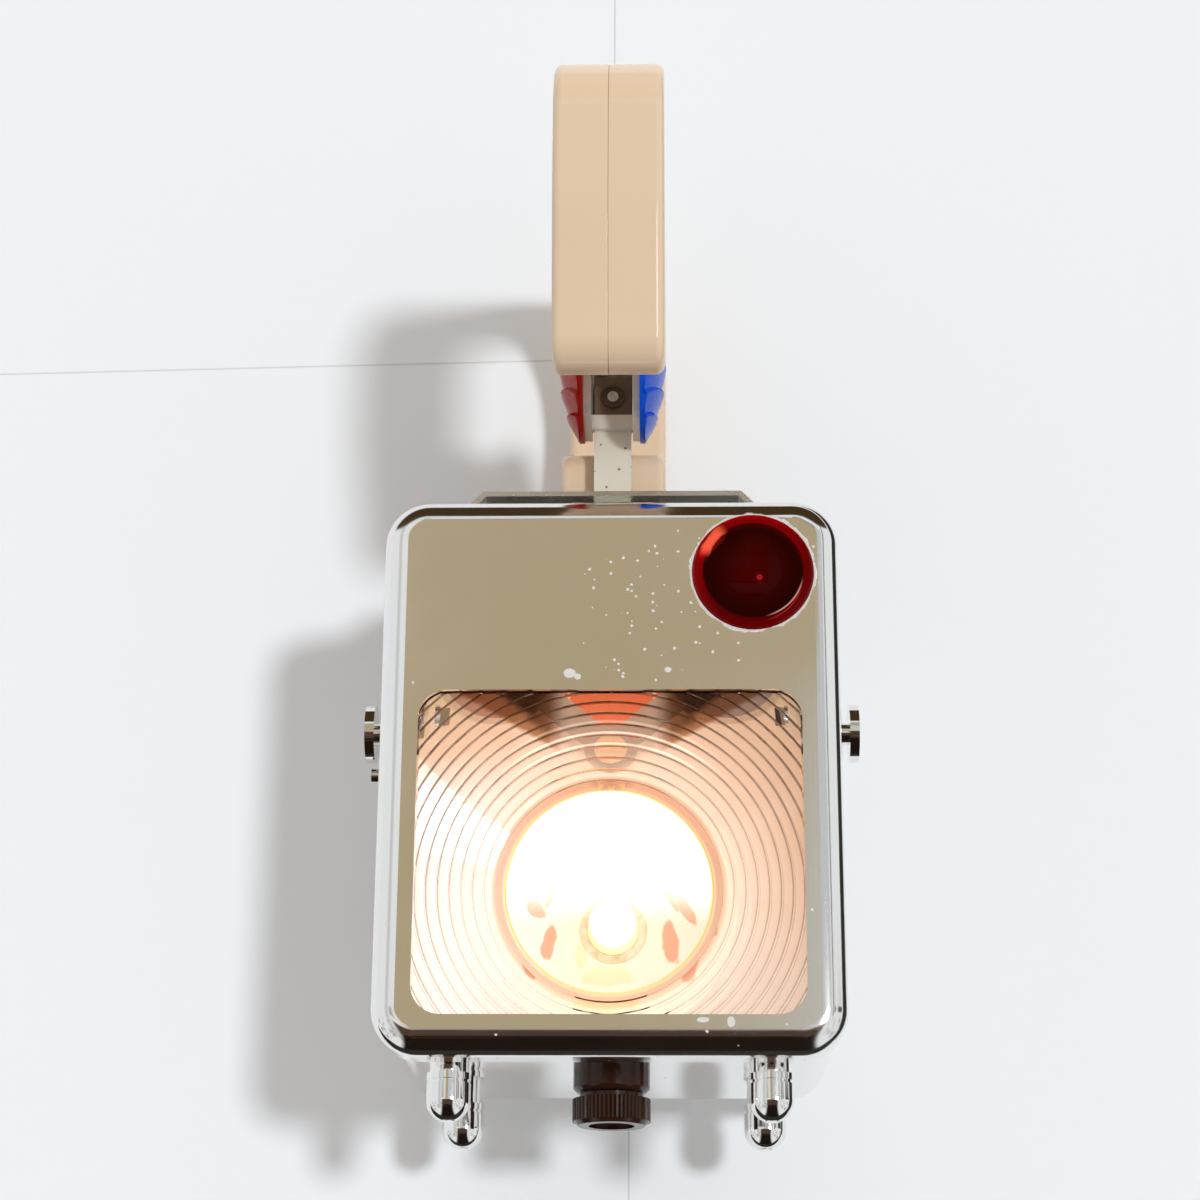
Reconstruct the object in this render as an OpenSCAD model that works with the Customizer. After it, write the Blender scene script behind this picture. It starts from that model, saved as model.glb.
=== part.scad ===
// Railway hand signal lamp: a drawn steel box with a stepped lens, a hook handle and a colour lever.
// Millimetres. X runs to the viewer's right, Y from the front to the back, Z up from the feet tips.
// Depths are measured back from the cover's front face, which stands at y = face_y.

/* [Front cover] */
// Width of the cover over its skirt
cover_w = 120; // [112:1:130]
// Height of the cover over its skirt
cover_h = 148; // [144:1:156]
// Depth of the skirt, from the face to its rear edge
cover_depth = 13.5; // [12.5:0.5:13.5]
// Corner radius of the cover seen from the front
cover_r = 12; // [10:0.5:14]
// Radius of the rolled front edge
cover_roll = 6.5; // [5:0.5:6.5]
// Sheet thickness of the cover
cover_wall = 1.2; // [0.8:0.1:1.4]
// Place of the front face ahead of the handle's middle
face_y = -29; // [-34:1:-24]

/* [Main lens] */
// Width of the lens window
window_w = 99.2; // [90:0.2:100]
// Height of the lens window
window_h = 84.5; // [78:0.5:86]
// Corner radius of the lens window
window_r = 7.5; // [4:0.5:12]
// Height of the window's lower edge above the feet tips
window_z = 23.7; // [23.5:0.1:26]
// Height of the lens axis and the bulb above the feet tips
lens_z = 55.9; // [54:0.1:57]
// Radius of the bull's-eye in the middle of the lens
bull_r = 26.5; // [22:0.5:28]
// How far the bull's-eye bulges
bull_rise = 2.2; // [1:0.1:2.4]
// Radial step from one lens ring to the next
ring_pitch = 3; // [2.5:0.1:4]
// How far each ring stands out of the plate
ring_rise = 1.5; // [0.6:0.1:1.6]
// Thickness of the lens plate behind the rings
lens_plate = 3; // [2:0.1:3.2]
// How far the lens plate reaches past the window on each side
lens_lip = 3; // [2:0.1:3.2]
// Thickness of the rubber gasket in front of the lens plate
gasket_t = 2; // [1.6:0.1:2]

/* [Red lens] */
// Diameter of the red lens where it shows
red_d = 32; // [26:0.5:32]
// Sideways place of the red lens
red_x = 37.4; // [34:0.1:37.4]
// Height of the red lens above the feet tips
red_z = 140.4; // [138:0.1:140.4]
// How far the red lens stands proud of the face
red_rise = 1.6; // [0.8:0.1:3]

/* [Body] */
// Clearance between the body and the cover's skirt
body_gap = 0.3; // [0.2:0.05:0.5]
// Sheet thickness of the body
body_wall = 1; // [0.8:0.1:1.2]
// Depth at which the body's mouth begins
mouth_depth = 8.6; // [8.4:0.1:9.5]
// Depth of the body's rear face
back_depth = 88; // [86:0.5:96]
// Radius of the drawn rear edge
body_roll = 6; // [4:0.5:7]
// Height of the cover's lower edge above the feet tips
cover_z = 14; // [13:0.5:15]

/* [Feet] */
// Diameter of a foot
foot_d = 11.4; // [10:0.2:12]
// Sideways place of the feet
foot_x = 41; // [40.5:0.5:43]
// Depth of the front feet
foot_front_depth = 19.8; // [19.6:0.1:20]
// Depth of the rear feet
foot_rear_depth = 71; // [60:1:78]
// Height of a foot below its spacer washer
foot_h = 12; // [10:0.5:12]
// Radius of the flat at a foot's tip
foot_flat_r = 1.6; // [1:0.1:2.5]

/* [Top plate and handle] */
// Width of the raised top plate
plate_w = 70; // [60:1:74]
// Height of the raised top plate above the body
plate_h = 8.5; // [8:0.1:9]
// Sheet thickness of the top plate
plate_t = 1.4; // [1:0.1:1.6]
// Width of the handle over both halves
handle_w = 29; // [27:0.5:34]
// Height of the handle's top above the feet tips
handle_top = 272.5; // [270:0.5:278]
// Reach of the handle's loop ahead of and behind its middle
handle_reach = 79; // [78:0.5:82]
// Thickness of the handle's grip bar
grip_t = 13; // [11:0.5:15]
// Rounding of the handle's outer edges
handle_edge = 2.4; // [1.5:0.1:3]
// Wall of the handle's hollow mouldings
handle_wall = 2.6; // [2.4:0.1:3]

/* [Lever] */
// Width of the lever stem
stem_w = 10.2; // [9:0.2:10.4]
// Thickness of the lever stem
stem_t = 4.5; // [3.5:0.1:4.8]
// Depth of the lever stem's front face
stem_depth = 19.8; // [19.6:0.1:20]
// Height of the lever's pivot above the feet tips
lever_z = 148; // [148:0.5:149]
// Swing of the lever to each side in degrees
lever_swing = 14.5; // [12:0.5:15]
// Height of the pads' centre above the feet tips
pad_z = 204; // [202:0.5:206]
// Depth of the pads' centre
pad_depth = 12; // [8:0.5:14]
// Diameter of a pad
pad_d = 40.8; // [36:0.2:42]
// Thickness of a pad at its middle
pad_t = 8; // [6:0.5:9]
// Number of raised ribs on a pad
pad_ribs = 14; // [8:1:18]

/* [Filters] */
// Teeth on the pinion that turns the filters
pinion_teeth = 11; // [11:1:11]
// Teeth that the lever's sector would have all round
sector_teeth = 99; // [99:1:99]
// Tooth module of the pinion and the sector
tooth_module = 1; // [1:0.01:1.02]
// Outer diameter of a filter's ring
filter_ring_d = 34; // [28:0.5:34]
// Width of a filter's ring
filter_ring_w = 2.5; // [2:0.1:3]
// Thickness of a filter glass
filter_t = 1.6; // [1.2:0.1:2]

/* [Knob] */
// Diameter of the knob over its ribs
knob_d = 20.4; // [18:0.2:21]
// Depth of the knob's axis
knob_depth = 40; // [40:0.5:40.5]
// Number of ribs round the knob
knob_ribs = 56; // [36:1:64]
// Height of the knob's cap
knob_cap_h = 6.8; // [5:0.2:7]
// Diameter of the knob's shaft
knob_shaft_d = 6; // [5:0.1:6.4]

/* [Side buttons] */
// Diameter of a side button
button_d = 15.5; // [13:0.5:15.5]
// Thickness of a button's head
button_head_t = 2.5; // [2.2:0.1:3]
// Height of the buttons above the feet tips
button_z = 104; // [100:0.5:106]
// Depth of the buttons' axis
button_depth = 27; // [26.5:0.1:27]
// Inward travel of a button
button_travel = 2; // [1:0.1:2.2]

/* [Lamp and cells] */
// Radius of the reflector's mouth
reflector_r = 27; // [24:0.5:27.5]
// Depth of the reflector from its mouth to its vertex
reflector_depth = 20; // [18:0.5:20]
// Diameter of a round cell
cell_d = 34.2; // [32:0.1:34.4]
// Length of a round cell with its nub
cell_l = 61.5; // [58:0.5:62]

/* [Fits] */
// Running clearance on a radius, between a shaft and its bore
run_gap = 0.05; // [0.03:0.01:0.08]
// Clearance between pieces that pass each other
pass_gap = 0.3; // [0.25:0.05:0.4]
// Clearance on a radius, between a screw and its hole
screw_gap = 0.1; // [0.05:0.05:0.15]

/* [Hidden] */
$fn = 48;

// Cover and body
skin = cover_wall + body_gap;
body_w = cover_w - 2 * skin;
body_h = cover_h - 2 * skin;
body_r = cover_r - skin;
body_z = cover_z + skin;
body_mid_z = cover_z + cover_h / 2;
body_top = body_z + body_h;
floor_top = body_z + body_wall;

// Lens stack, in depths
plate_front = cover_wall + gasket_t;
plate_rear = plate_front + lens_plate;
ring_front = plate_front - ring_rise;
ring_start = bull_r + 2.2;
ring_end = norm([window_w / 2 + lens_lip, window_z + window_h + lens_lip - lens_z]);
ring_count = ceil((ring_end - ring_start) / ring_pitch);
bull_sphere_r = (bull_r * bull_r + bull_rise * bull_rise) / (2 * bull_rise);
window_mid_z = window_z + window_h / 2;
retainer_t = 1;
retainer_rear = plate_rear + retainer_t;
retainer_lap = 2.5;
stud_r = 1.45;
stud_points = [[-48, 115.5], [48, 115.5], [-20, 152], [5, 152]];
nut_r = 3;
nut_t = 2;
ledge_w = 80;
ledge_t = 0.9;

// Red lens
red_flange_r = red_d / 2 + 1;
red_gasket_t = 0.6;

// Feet
foot_stud_r = 2;
spacer_r = 4.9;
foot_points = [
    [-foot_x, foot_front_depth],
    [foot_x, foot_front_depth],
    [-foot_x, foot_rear_depth],
    [foot_x, foot_rear_depth],
];

// Chassis, in depths
chassis_front = 28;
chassis_t = 1.2;
chassis_rear = chassis_front + chassis_t;
chassis_w = body_w - 6;
chassis_z0 = body_z + 3.5;
chassis_z1 = body_top - 3.5;
post_r = 3;
post_points = [[-47, 27], [47, 27], [-47, 149], [47, 149]];
post_tap_r = 1.25;

// Lever and filters
pinion_r = tooth_module * pinion_teeth / 2;
sector_r = tooth_module * sector_teeth / 2;
gear_ratio = sector_teeth / pinion_teeth;
carrier_z = lever_z - sector_r - pinion_r;
filter_reach = carrier_z - lens_z;
filter_park = gear_ratio * lever_swing;
sector_t = 3;
pinion_t = 3.6;
stem_mid = stem_depth + stem_t / 2;
carrier_front = 13;
carrier_t = 3.5;
carrier_room = 1;
lever_pin_r = 3;
carrier_pin_r = 2;
carrier_hub_r = 6.5;
carrier_neck_r = 4.4;
sector_tips = 4;
sector_neck = 9;
sector_hole_r = 4;

// Finger bracket
bracket_in = stem_w / 2 + 0.5;
bracket_t = 2;
bracket_out = bracket_in + bracket_t;
bracket_z0 = pad_z - 17;
bracket_z1 = pad_z + 18;
bracket_front = pad_depth - 10;
bracket_web = 1.5;
stem_top = pad_z + 1;
stem_rivet_z = pad_z - 5;
pad_pin_r = 1.6;

// Top plate
plate_z = body_top + plate_h;
plate_front_depth = cover_depth + 0.8;
plate_rear_depth = back_depth - 2;
plate_slope = 7;
plate_flange = 6;
slot_gap = 0.6;

// Handle outline corners: depth, height, radius
grip_under = handle_top - grip_t;
handle_tip_z = 184.3;
loop_front = -face_y - handle_reach;
loop_rear = -face_y + handle_reach;
handle_corners = [
    [loop_front, handle_top, 20],
    [loop_rear, handle_top, 50],
    [loop_rear, 203, 16],
    [88.5, 186, 10],
    [86, plate_z, 5.2],
    [26, plate_z, 5.2],
    [26, 186, 5.2],
    [68, 186, 9],
    [87, 205, 14],
    [87, grip_under, 36],
    [loop_front + 13.5, grip_under, 12],
    [loop_front + 16, 222, 40],
    [-23, handle_tip_z, 5],
    [-38, handle_tip_z, 8],
    [loop_front + 2, 225, 60],
];
handle_screw_points = [[-39, 215], [12, handle_top - grip_t / 2], [98, 224], [60, plate_z + 8.5]];
handle_bolt_points = [[-8, 34], [8, 34], [-8, 78], [8, 78]];
handle_boss_r = 4;
// Fillet where the flat side meets the rim inside the handle
handle_fillet = 1;
bolt_r = 2;
bolt_grip = 13;
screw_r = 1.45;
screw_head_r = 3;

// Cells and tray
tray_wall = 1;
tray_rear = back_depth - body_wall;
tray_front = tray_rear - cell_d - 3.3;
tray_half = cell_d + 2.4;
tray_z0 = body_z + body_roll;
tray_z1 = tray_z0 + 2 * cell_l + 10;
cell_x = cell_d / 2 + 0.4;
cell_depth = tray_rear - tray_wall - pass_gap - cell_d / 2;
strip_t = 0.8;

// Knob and switch
switch_r = 8;
switch_h = 11.5;
switch_neck_r = 5;
collar_bottom = body_z - 5.3;
knob_cap_top = collar_bottom - 1.6;
knob_shaft_top = floor_top + 7.5;

// Buttons
button_stem_r = 3;
bush_r = 4.4;
bush_out = body_w / 2 + 1.5;
bush_in = body_w / 2 - 3;
button_room = 1.2;
button_x = bush_out + button_travel + button_room + button_head_t;
button_clip_t = 1;
clip_in = bush_in - pass_gap - button_clip_t;
tab_out = clip_in - 9;
tab_t = 1.2;
tab_bore = tab_t + button_travel + 3;
spring_wire_r = 0.4;
spring_r = button_stem_r + spring_wire_r + 0.7;
spring_turns = 5;

// Draws a flat outline, given in X and Z, as a slab between two depths.
module slab(depth0, depth1) {
    translate([0, face_y + depth1, 0]) rotate([90, 0, 0]) linear_extrude(depth1 - depth0) children();
}

// Turns a profile of radius and depth about an axis that runs back through x, z.
module turned(x, z) {
    translate([x, face_y, z]) rotate([-90, 0, 0]) rotate_extrude() children();
}

// A round bar that runs back through x, z.
module bar(x, z, r, depth0, depth1) {
    translate([x, face_y + depth0, z]) rotate([-90, 0, 0]) cylinder(r = r, h = depth1 - depth0);
}

// A round bar along X at a depth and height.
module crossbar(depth, z, r, x0, x1) {
    translate([x0, face_y + depth, z]) rotate([0, 90, 0]) cylinder(r = r, h = x1 - x0);
}

module rounded_rect(w, h, r) {
    square([w - 2 * r, h], center = true);
    square([w, h - 2 * r], center = true);
    for (sx = [-1, 1], sy = [-1, 1]) translate([sx * (w / 2 - r), sy * (h / 2 - r)]) circle(r);
}

// Sweeps a section round a rounded rectangle. The section's x starts at the corner's axis.
module rounded_sweep(w, h, r) {
    for (k = [0:3]) {
        a = k % 2 == 0 ? w : h;
        b = k % 2 == 0 ? h : w;
        rotate(90 * k) translate([a / 2 - r, b / 2 - r, 0]) {
            rotate([90, 0, 0]) linear_extrude(b - 2 * r) children();
            rotate_extrude(angle = 90) children();
        }
    }
}

// Half section of a drawn block: flat floor, rolled edge, straight side.
module rolled_section(r, roll, depth) {
    translate([0, roll]) square([r, depth - roll]);
    square([r - roll, roll]);
    intersection() {
        translate([r - roll, roll]) circle(roll);
        translate([r - roll, 0]) square([roll, roll]);
    }
}

// A drawn sheet tray with its floor at z = 0 and its mouth at z = depth.
module drawn_tray(w, h, r, roll, wall, depth) {
    rounded_sweep(w, h, r) difference() {
        rolled_section(r, roll, depth);
        translate([0, wall]) rolled_section(r - wall, roll - wall, depth);
    }
    translate([r - w / 2, r - h / 2, 0]) cube([w - 2 * r, h - 2 * r, wall]);
}

module window_outline(grow) {
    translate([0, window_mid_z]) rounded_rect(window_w + 2 * grow, window_h + 2 * grow, window_r + grow);
}

module front_cover() {
    color("gainsboro") {
        difference() {
            translate([0, face_y, body_mid_z]) rotate([-90, 0, 0])
                drawn_tray(cover_w, cover_h, cover_r, cover_roll, cover_wall, cover_depth);
            slab(-1, cover_wall + 1) window_outline(0);
            bar(red_x, red_z, red_d / 2, -1, cover_wall + 1);
        }
        for (p = stud_points) bar(p.x, p.y, stud_r, cover_wall, retainer_rear + nut_t + 1);
        slab(retainer_rear + 0.1, retainer_rear + 0.1 + ledge_t)
            translate([-ledge_w / 2, cover_z + cover_wall]) square([ledge_w, 5]);
    }
}

// Sawtooth of one lens ring: each zone starts high at its inner edge and falls outwards.
function ring_points(k) = let (r = ring_start + k * ring_pitch) [
    [r, ring_front],
    [r + ring_pitch - 0.2, plate_front - 0.1],
    [r + ring_pitch - 0.05, plate_front - 0.1],
];

module main_lens() {
    color([0.85, 0.92, 0.95, 0.4]) {
        intersection() {
            turned(0, lens_z) polygon(concat(
                [[0, plate_front + 0.5], [0, plate_front - 0.1], [ring_start, plate_front - 0.1]],
                [for (k = [0:ring_count - 1]) each ring_points(k)],
                [[ring_start + ring_count * ring_pitch, plate_front + 0.5]]
            ));
            slab(0, plate_front + 1) window_outline(-pass_gap);
        }
        intersection() {
            translate([0, face_y + plate_front - bull_rise + bull_sphere_r, lens_z])
                sphere(bull_sphere_r, $fn = 96);
            bar(0, lens_z, bull_r, 0, plate_front + 0.5);
        }
        slab(plate_front, plate_rear) window_outline(lens_lip);
    }
}

module lens_gasket() {
    color("dimgray") slab(cover_wall, plate_front) difference() {
        window_outline(lens_lip);
        window_outline(0.2);
    }
}

module lens_retainer() {
    inset = cover_wall + 2.3;
    color("silver") slab(plate_rear, retainer_rear) difference() {
        translate([0, body_mid_z]) rounded_rect(cover_w - 2 * inset, cover_h - 2 * inset, cover_r - inset);
        window_outline(lens_lip - retainer_lap);
        translate([red_x, red_z]) circle(red_flange_r - 2);
        for (p = stud_points) translate(p) circle(stud_r + screw_gap);
    }
}

module retainer_nuts() {
    color("silver") for (p = stud_points) slab(retainer_rear, retainer_rear + nut_t) difference() {
        translate(p) circle(nut_r, $fn = 6);
        translate(p) circle(stud_r + run_gap);
    }
}

module red_lens() {
    step = 0.84 * red_d / 2;
    lens_r = red_d / 2 - pass_gap;
    color([0.55, 0.02, 0.02, 0.6]) turned(red_x, red_z) difference() {
        union() {
            translate([0, cover_wall + red_gasket_t])
                square([red_flange_r, plate_rear - cover_wall - red_gasket_t]);
            translate([0, -red_rise + 1]) square([lens_r, red_rise + cover_wall + 1]);
            translate([0, -red_rise]) square([lens_r - 1, 3]);
            intersection() {
                translate([lens_r - 1, -red_rise + 1]) circle(1);
                translate([lens_r - 1, -red_rise]) square([1, 1]);
            }
        }
        intersection() {
            translate([0, -red_rise + 0.7 - 40]) circle(40, $fn = 180);
            translate([0, -red_rise - 1]) square([step, 3]);
        }
        translate([0, cover_wall + 1.4]) square([red_flange_r - 2, 10]);
    }
}

module red_lens_gasket() {
    color("dimgray") slab(cover_wall, cover_wall + red_gasket_t) difference() {
        intersection() {
            translate([red_x, red_z]) circle(red_flange_r);
            translate([0, body_mid_z])
                rounded_rect(cover_w - 2 * cover_roll, cover_h - 2 * cover_roll, cover_r - cover_roll);
        }
        translate([red_x, red_z]) circle(red_d / 2);
    }
}

module body_shell() {
    depth = back_depth - mouth_depth;
    stem_reach = (body_top - lever_z) * tan(lever_swing) + stem_w / 2 / cos(lever_swing) + slot_gap;
    color("gainsboro") difference() {
        translate([0, face_y + back_depth, body_mid_z]) rotate([90, 0, 0])
            drawn_tray(body_w, body_h, body_r, body_roll, body_wall, depth);
        for (p = foot_points) translate([p.x, face_y + p.y, body_z - 1])
            cylinder(r = foot_stud_r + screw_gap, h = body_wall + 2);
        translate([0, face_y + knob_depth, body_z - 1])
            cylinder(r = switch_neck_r + screw_gap, h = body_wall + 2);
        translate([-stem_reach, face_y + stem_depth - slot_gap, body_top - body_wall - 1])
            cube([2 * stem_reach, stem_t + 2 * slot_gap, body_wall + 2]);
        crossbar(button_depth, button_z, bush_r + screw_gap, -body_w, body_w);
    }
}

module top_plate() {
    top = plate_w / 2;
    foot = top + plate_slope;
    end = foot + plate_flange;
    stem_reach = (plate_z - lever_z) * tan(lever_swing) + stem_w / 2 / cos(lever_swing) + slot_gap;
    color("silver") difference() {
        slab(plate_front_depth, plate_rear_depth) polygon([
            [-end, body_top], [-end, body_top + plate_t], [-foot, body_top + plate_t],
            [-top, plate_z], [top, plate_z],
            [foot, body_top + plate_t], [end, body_top + plate_t], [end, body_top],
            [foot - plate_t * 0.6, body_top], [top - plate_t * 0.6, plate_z - plate_t],
            [plate_t * 0.6 - top, plate_z - plate_t], [plate_t * 0.6 - foot, body_top],
        ]);
        translate([-stem_reach, face_y + stem_depth - slot_gap, plate_z - plate_t - 1])
            cube([2 * stem_reach, stem_t + 2 * slot_gap, plate_t + 2]);
        for (p = handle_bolt_points) translate([p.x, face_y + p.y, plate_z - plate_t - 1])
            cylinder(r = bolt_r + screw_gap, h = plate_t + 2);
    }
}

module top_plate_rivets() {
    x = plate_w / 2 + plate_slope + plate_flange / 2;
    depths = [plate_front_depth + 8, (plate_front_depth + plate_rear_depth) / 2, plate_rear_depth - 8];
    color("silver") for (sx = [-1, 1], d = depths)
        translate([sx * x, face_y + d, body_top + plate_t]) intersection() {
            translate([0, 0, -1.4]) sphere(2.6);
            cylinder(r = 3, h = 2);
        }
}

module side_stud() {
    color("silver") crossbar(button_depth, button_z - 11.5, 2, -button_x + 1.6, -body_w / 2);
}

module foot(p) {
    r = foot_d / 2;
    dome = sqrt(r * r - foot_flat_r * foot_flat_r);
    color("gainsboro") translate([p.x, face_y + p.y, 0]) rotate_extrude() difference() {
        union() {
            intersection() {
                translate([0, dome]) circle(r);
                square([r, dome]);
            }
            translate([0, dome]) square([r, foot_h - dome]);
            square([foot_stud_r, floor_top + 4]);
        }
        translate([r - 0.4, foot_h - 2.5]) square([1, 0.8]);
    }
}

module foot_spacers() {
    color("silver") for (p = foot_points) translate([p.x, face_y + p.y, foot_h]) difference() {
        cylinder(r = spacer_r, h = body_z - foot_h);
        translate([0, 0, -1]) cylinder(r = foot_stud_r + screw_gap, h = body_z - foot_h + 2);
    }
}

module foot_nuts() {
    color("silver") for (p = foot_points) translate([p.x, face_y + p.y, floor_top]) difference() {
        cylinder(r = 3.6, h = 2.6, $fn = 6);
        translate([0, 0, -1]) cylinder(r = foot_stud_r + run_gap, h = 5);
    }
}

// Points of one rounded corner between its two neighbours, in steps of at most 15 degrees.
function corner_arc(a, b, c) = let (
    ua = ([a.x, a.y] - [b.x, b.y]) / norm([a.x, a.y] - [b.x, b.y]),
    uc = ([c.x, c.y] - [b.x, b.y]) / norm([c.x, c.y] - [b.x, b.y]),
    half = acos(ua * uc) / 2,
    mid = (ua + uc) / norm(ua + uc),
    centre = [b.x, b.y] + mid * b.z / sin(half),
    from = [b.x, b.y] + ua * b.z / tan(half) - centre,
    to = [b.x, b.y] + uc * b.z / tan(half) - centre,
    start = atan2(from.y, from.x),
    turn = atan2(from.x * to.y - from.y * to.x, from * to),
    steps = max(1, ceil(abs(turn) / 15))
) [for (k = [0:steps]) centre + b.z * [cos(start + turn * k / steps), sin(start + turn * k / steps)]];

function rounded_loop(corners) = let (n = len(corners)) [
    for (k = [0:n - 1]) each corner_arc(corners[(k + n - 1) % n], corners[k], corners[(k + 1) % n])
];

// Moves each point of a clockwise loop inwards along its normal.
function inset_loop(points, by) = let (n = len(points)) [
    for (k = [0:n - 1]) let (
        before = points[(k + n - 1) % n],
        after = points[(k + 1) % n],
        along = (after - before) / norm(after - before)
    ) points[k] + by * [along.y, -along.x]
];

// The wall that follows a closed outline, skinned round its section: outer side, rounded edge, inner side.
module rim_band(points, w, edge, wall, fillet, steps = 3) {
    n = len(points);
    section = concat(
        [[0, 0]],
        [for (k = [0:steps]) [w - edge * (1 - sin(90 * k / steps)), edge * (1 - cos(90 * k / steps))]],
        [[w, wall + fillet], [w - wall - fillet, wall], [0, wall]]
    );
    m = len(section);
    polyhedron(
        points = [for (g = section) each [for (p = inset_loop(points, g[1])) [g[0], face_y + p.x, p.y]]],
        faces = [for (j = [0:m - 1], k = [0:n - 1]) each let (q = (k + 1) % n, i = (j + 1) % m) [
            [j * n + k, j * n + q, i * n + q],
            [j * n + k, i * n + q, i * n + k],
        ]]
    );
}

// The right half of the handle, with its hollow, its screw bosses and the bosses of its base.
module handle_half(tapped) {
    half = handle_w / 2;
    outline = rounded_loop(handle_corners);
    hollow = half - handle_wall;
    difference() {
        union() {
            rim_band(outline, half, handle_edge, handle_wall, handle_fillet);
            translate([hollow, face_y, 0]) rotate([90, 0, 90]) linear_extrude(handle_wall)
                polygon(inset_loop(outline, handle_wall + handle_fillet / 5));
            for (p = handle_screw_points) crossbar(p.x, p.y, handle_boss_r, 0, hollow + 0.5);
            for (p = handle_bolt_points) if (p.x > 0) translate([p.x, face_y + p.y, plate_z + 1])
                cylinder(r = handle_boss_r, h = bolt_grip);
        }
        for (p = handle_screw_points) {
            crossbar(p.x, p.y, screw_r + screw_gap, -1, tapped ? half - 4 : half + 1);
            if (!tapped) crossbar(p.x, p.y, screw_head_r + screw_gap, half - 2.2, half + 1);
        }
        for (p = handle_bolt_points) if (p.x > 0) translate([p.x, face_y + p.y, plate_z - 1])
            cylinder(r = bolt_r + screw_gap, h = bolt_grip);
    }
}

module handle_right() {
    color("burlywood") handle_half(true);
}

module handle_left() {
    color("burlywood") mirror([1, 0, 0]) handle_half(false);
}

module handle_screws() {
    half = handle_w / 2;
    color("silver") for (p = handle_screw_points) {
        crossbar(p.x, p.y, screw_r, -half + 2, half - 5);
        difference() {
            crossbar(p.x, p.y, screw_head_r, -half + 0.5, -half + 2.2);
            translate([-half, face_y + p.x - 0.4, p.y - screw_head_r]) cube([1.3, 0.8, 2 * screw_head_r]);
        }
    }
}

module handle_bolts() {
    color("silver") for (p = handle_bolt_points) translate([p.x, face_y + p.y, plate_z - plate_t]) {
        translate([0, 0, -2.8]) cylinder(r = 3.8, h = 2.8, $fn = 6);
        cylinder(r = bolt_r, h = plate_t + bolt_grip - 2);
    }
}

module chassis_plate() {
    mid = (chassis_z0 + chassis_z1) / 2;
    tab_z = 7;
    tab_front = carrier_front + carrier_t + carrier_room;
    color("silver") difference() {
        union() {
            slab(chassis_front, chassis_rear) translate([0, mid])
                rounded_rect(chassis_w, chassis_z1 - chassis_z0, 6);
            for (x = [-tab_out, tab_out - tab_t]) translate([x, face_y + tab_front, button_z - tab_z])
                cube([tab_t, chassis_rear - tab_front, 2 * tab_z]);
        }
        bar(0, lens_z, reflector_r + 1, chassis_front - 1, chassis_rear + 1);
        for (p = post_points) bar(p.x, p.y, post_tap_r + screw_gap, chassis_front - 1, chassis_rear + 1);
        for (sx = [-1, 1]) {
            translate([sx * (tab_out + 20), face_y + chassis_front, button_z])
                cube([40, 6, 2 * spring_r + 3], center = true);
            crossbar(button_depth, button_z, button_stem_r + 0.2,
                sx * tab_out - tab_bore, sx * tab_out + tab_bore);
        }
    }
}

module chassis_posts() {
    color("silver") for (p = post_points) difference() {
        bar(p.x, p.y, post_r, chassis_rear, back_depth - body_wall);
        bar(p.x, p.y, post_tap_r, chassis_rear - 1, chassis_rear + 8);
    }
}

module chassis_screws() {
    color("silver") for (p = post_points) {
        difference() {
            bar(p.x, p.y, 2.8, chassis_front - 1.8, chassis_front);
            slab(chassis_front - 2, chassis_front - 1) translate(p) square([0.8, 6], center = true);
        }
        bar(p.x, p.y, post_tap_r - run_gap, chassis_front, chassis_rear + 6);
    }
}

reflector_front = chassis_front - 0.8;
neck_r = 8;
bowl_back = 1;
function bowl_depth(r) = reflector_front + reflector_depth * (1 - pow(r / reflector_r, 2));
neck_depth = bowl_depth(neck_r);
neck_rear = neck_depth + 2.1;

module reflector() {
    steps = 12;
    radii = [for (k = [0:steps]) neck_r + (reflector_r - neck_r) * k / steps];
    color("silver") turned(0, lens_z) polygon(concat(
        [for (r = radii) [r, bowl_depth(r)]],
        [[reflector_r + 3.5, reflector_front], [reflector_r + 3.5, chassis_front]],
        [[reflector_r + 0.4, chassis_front]],
        [for (k = [steps:-1:1]) [radii[k] + 0.3, bowl_depth(radii[k]) + bowl_back]],
        [[neck_r + 0.9, bowl_depth(neck_r + 0.9) + bowl_back], [neck_r + 0.9, neck_rear], [neck_r, neck_rear]]
    ));
}

bulb_base_r = 4.7;
socket_rear = neck_rear + 6.3;

module main_socket() {
    color("goldenrod") turned(0, lens_z) polygon([
        [bulb_base_r + run_gap, neck_depth + 0.2], [neck_r - pass_gap, neck_depth + 0.2],
        [neck_r - pass_gap, neck_rear], [neck_r + 1.4, neck_rear],
        [neck_r + 1.4, neck_rear + 1], [neck_r - 0.4, neck_rear + 1],
        [neck_r - 0.4, socket_rear], [0, socket_rear],
        [0, socket_rear - 1.2], [bulb_base_r + run_gap, socket_rear - 1.2],
    ]);
}

module bulb_glass(x, z, r, middle, seat) {
    color([1, 0.95, 0.8, 0.4]) turned(x, z) {
        intersection() {
            translate([0, middle]) circle(r);
            translate([0, middle - r]) square([r, 2 * r]);
        }
        translate([0, middle]) square([r * 0.68, seat - middle]);
    }
}

main_bulb_seat = neck_depth - 0.9;
red_bulb_seat = chassis_front - 9.8;

module main_bulb_glass() {
    bulb_glass(0, lens_z, 5.5, main_bulb_seat - 5.5, main_bulb_seat);
}

module main_bulb_base() {
    color("gold") turned(0, lens_z) {
        translate([0, main_bulb_seat]) square([bulb_base_r, socket_rear - 1.5 - main_bulb_seat]);
        translate([0, main_bulb_seat]) square([bulb_base_r + 1.2, 0.8]);
    }
}

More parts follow.
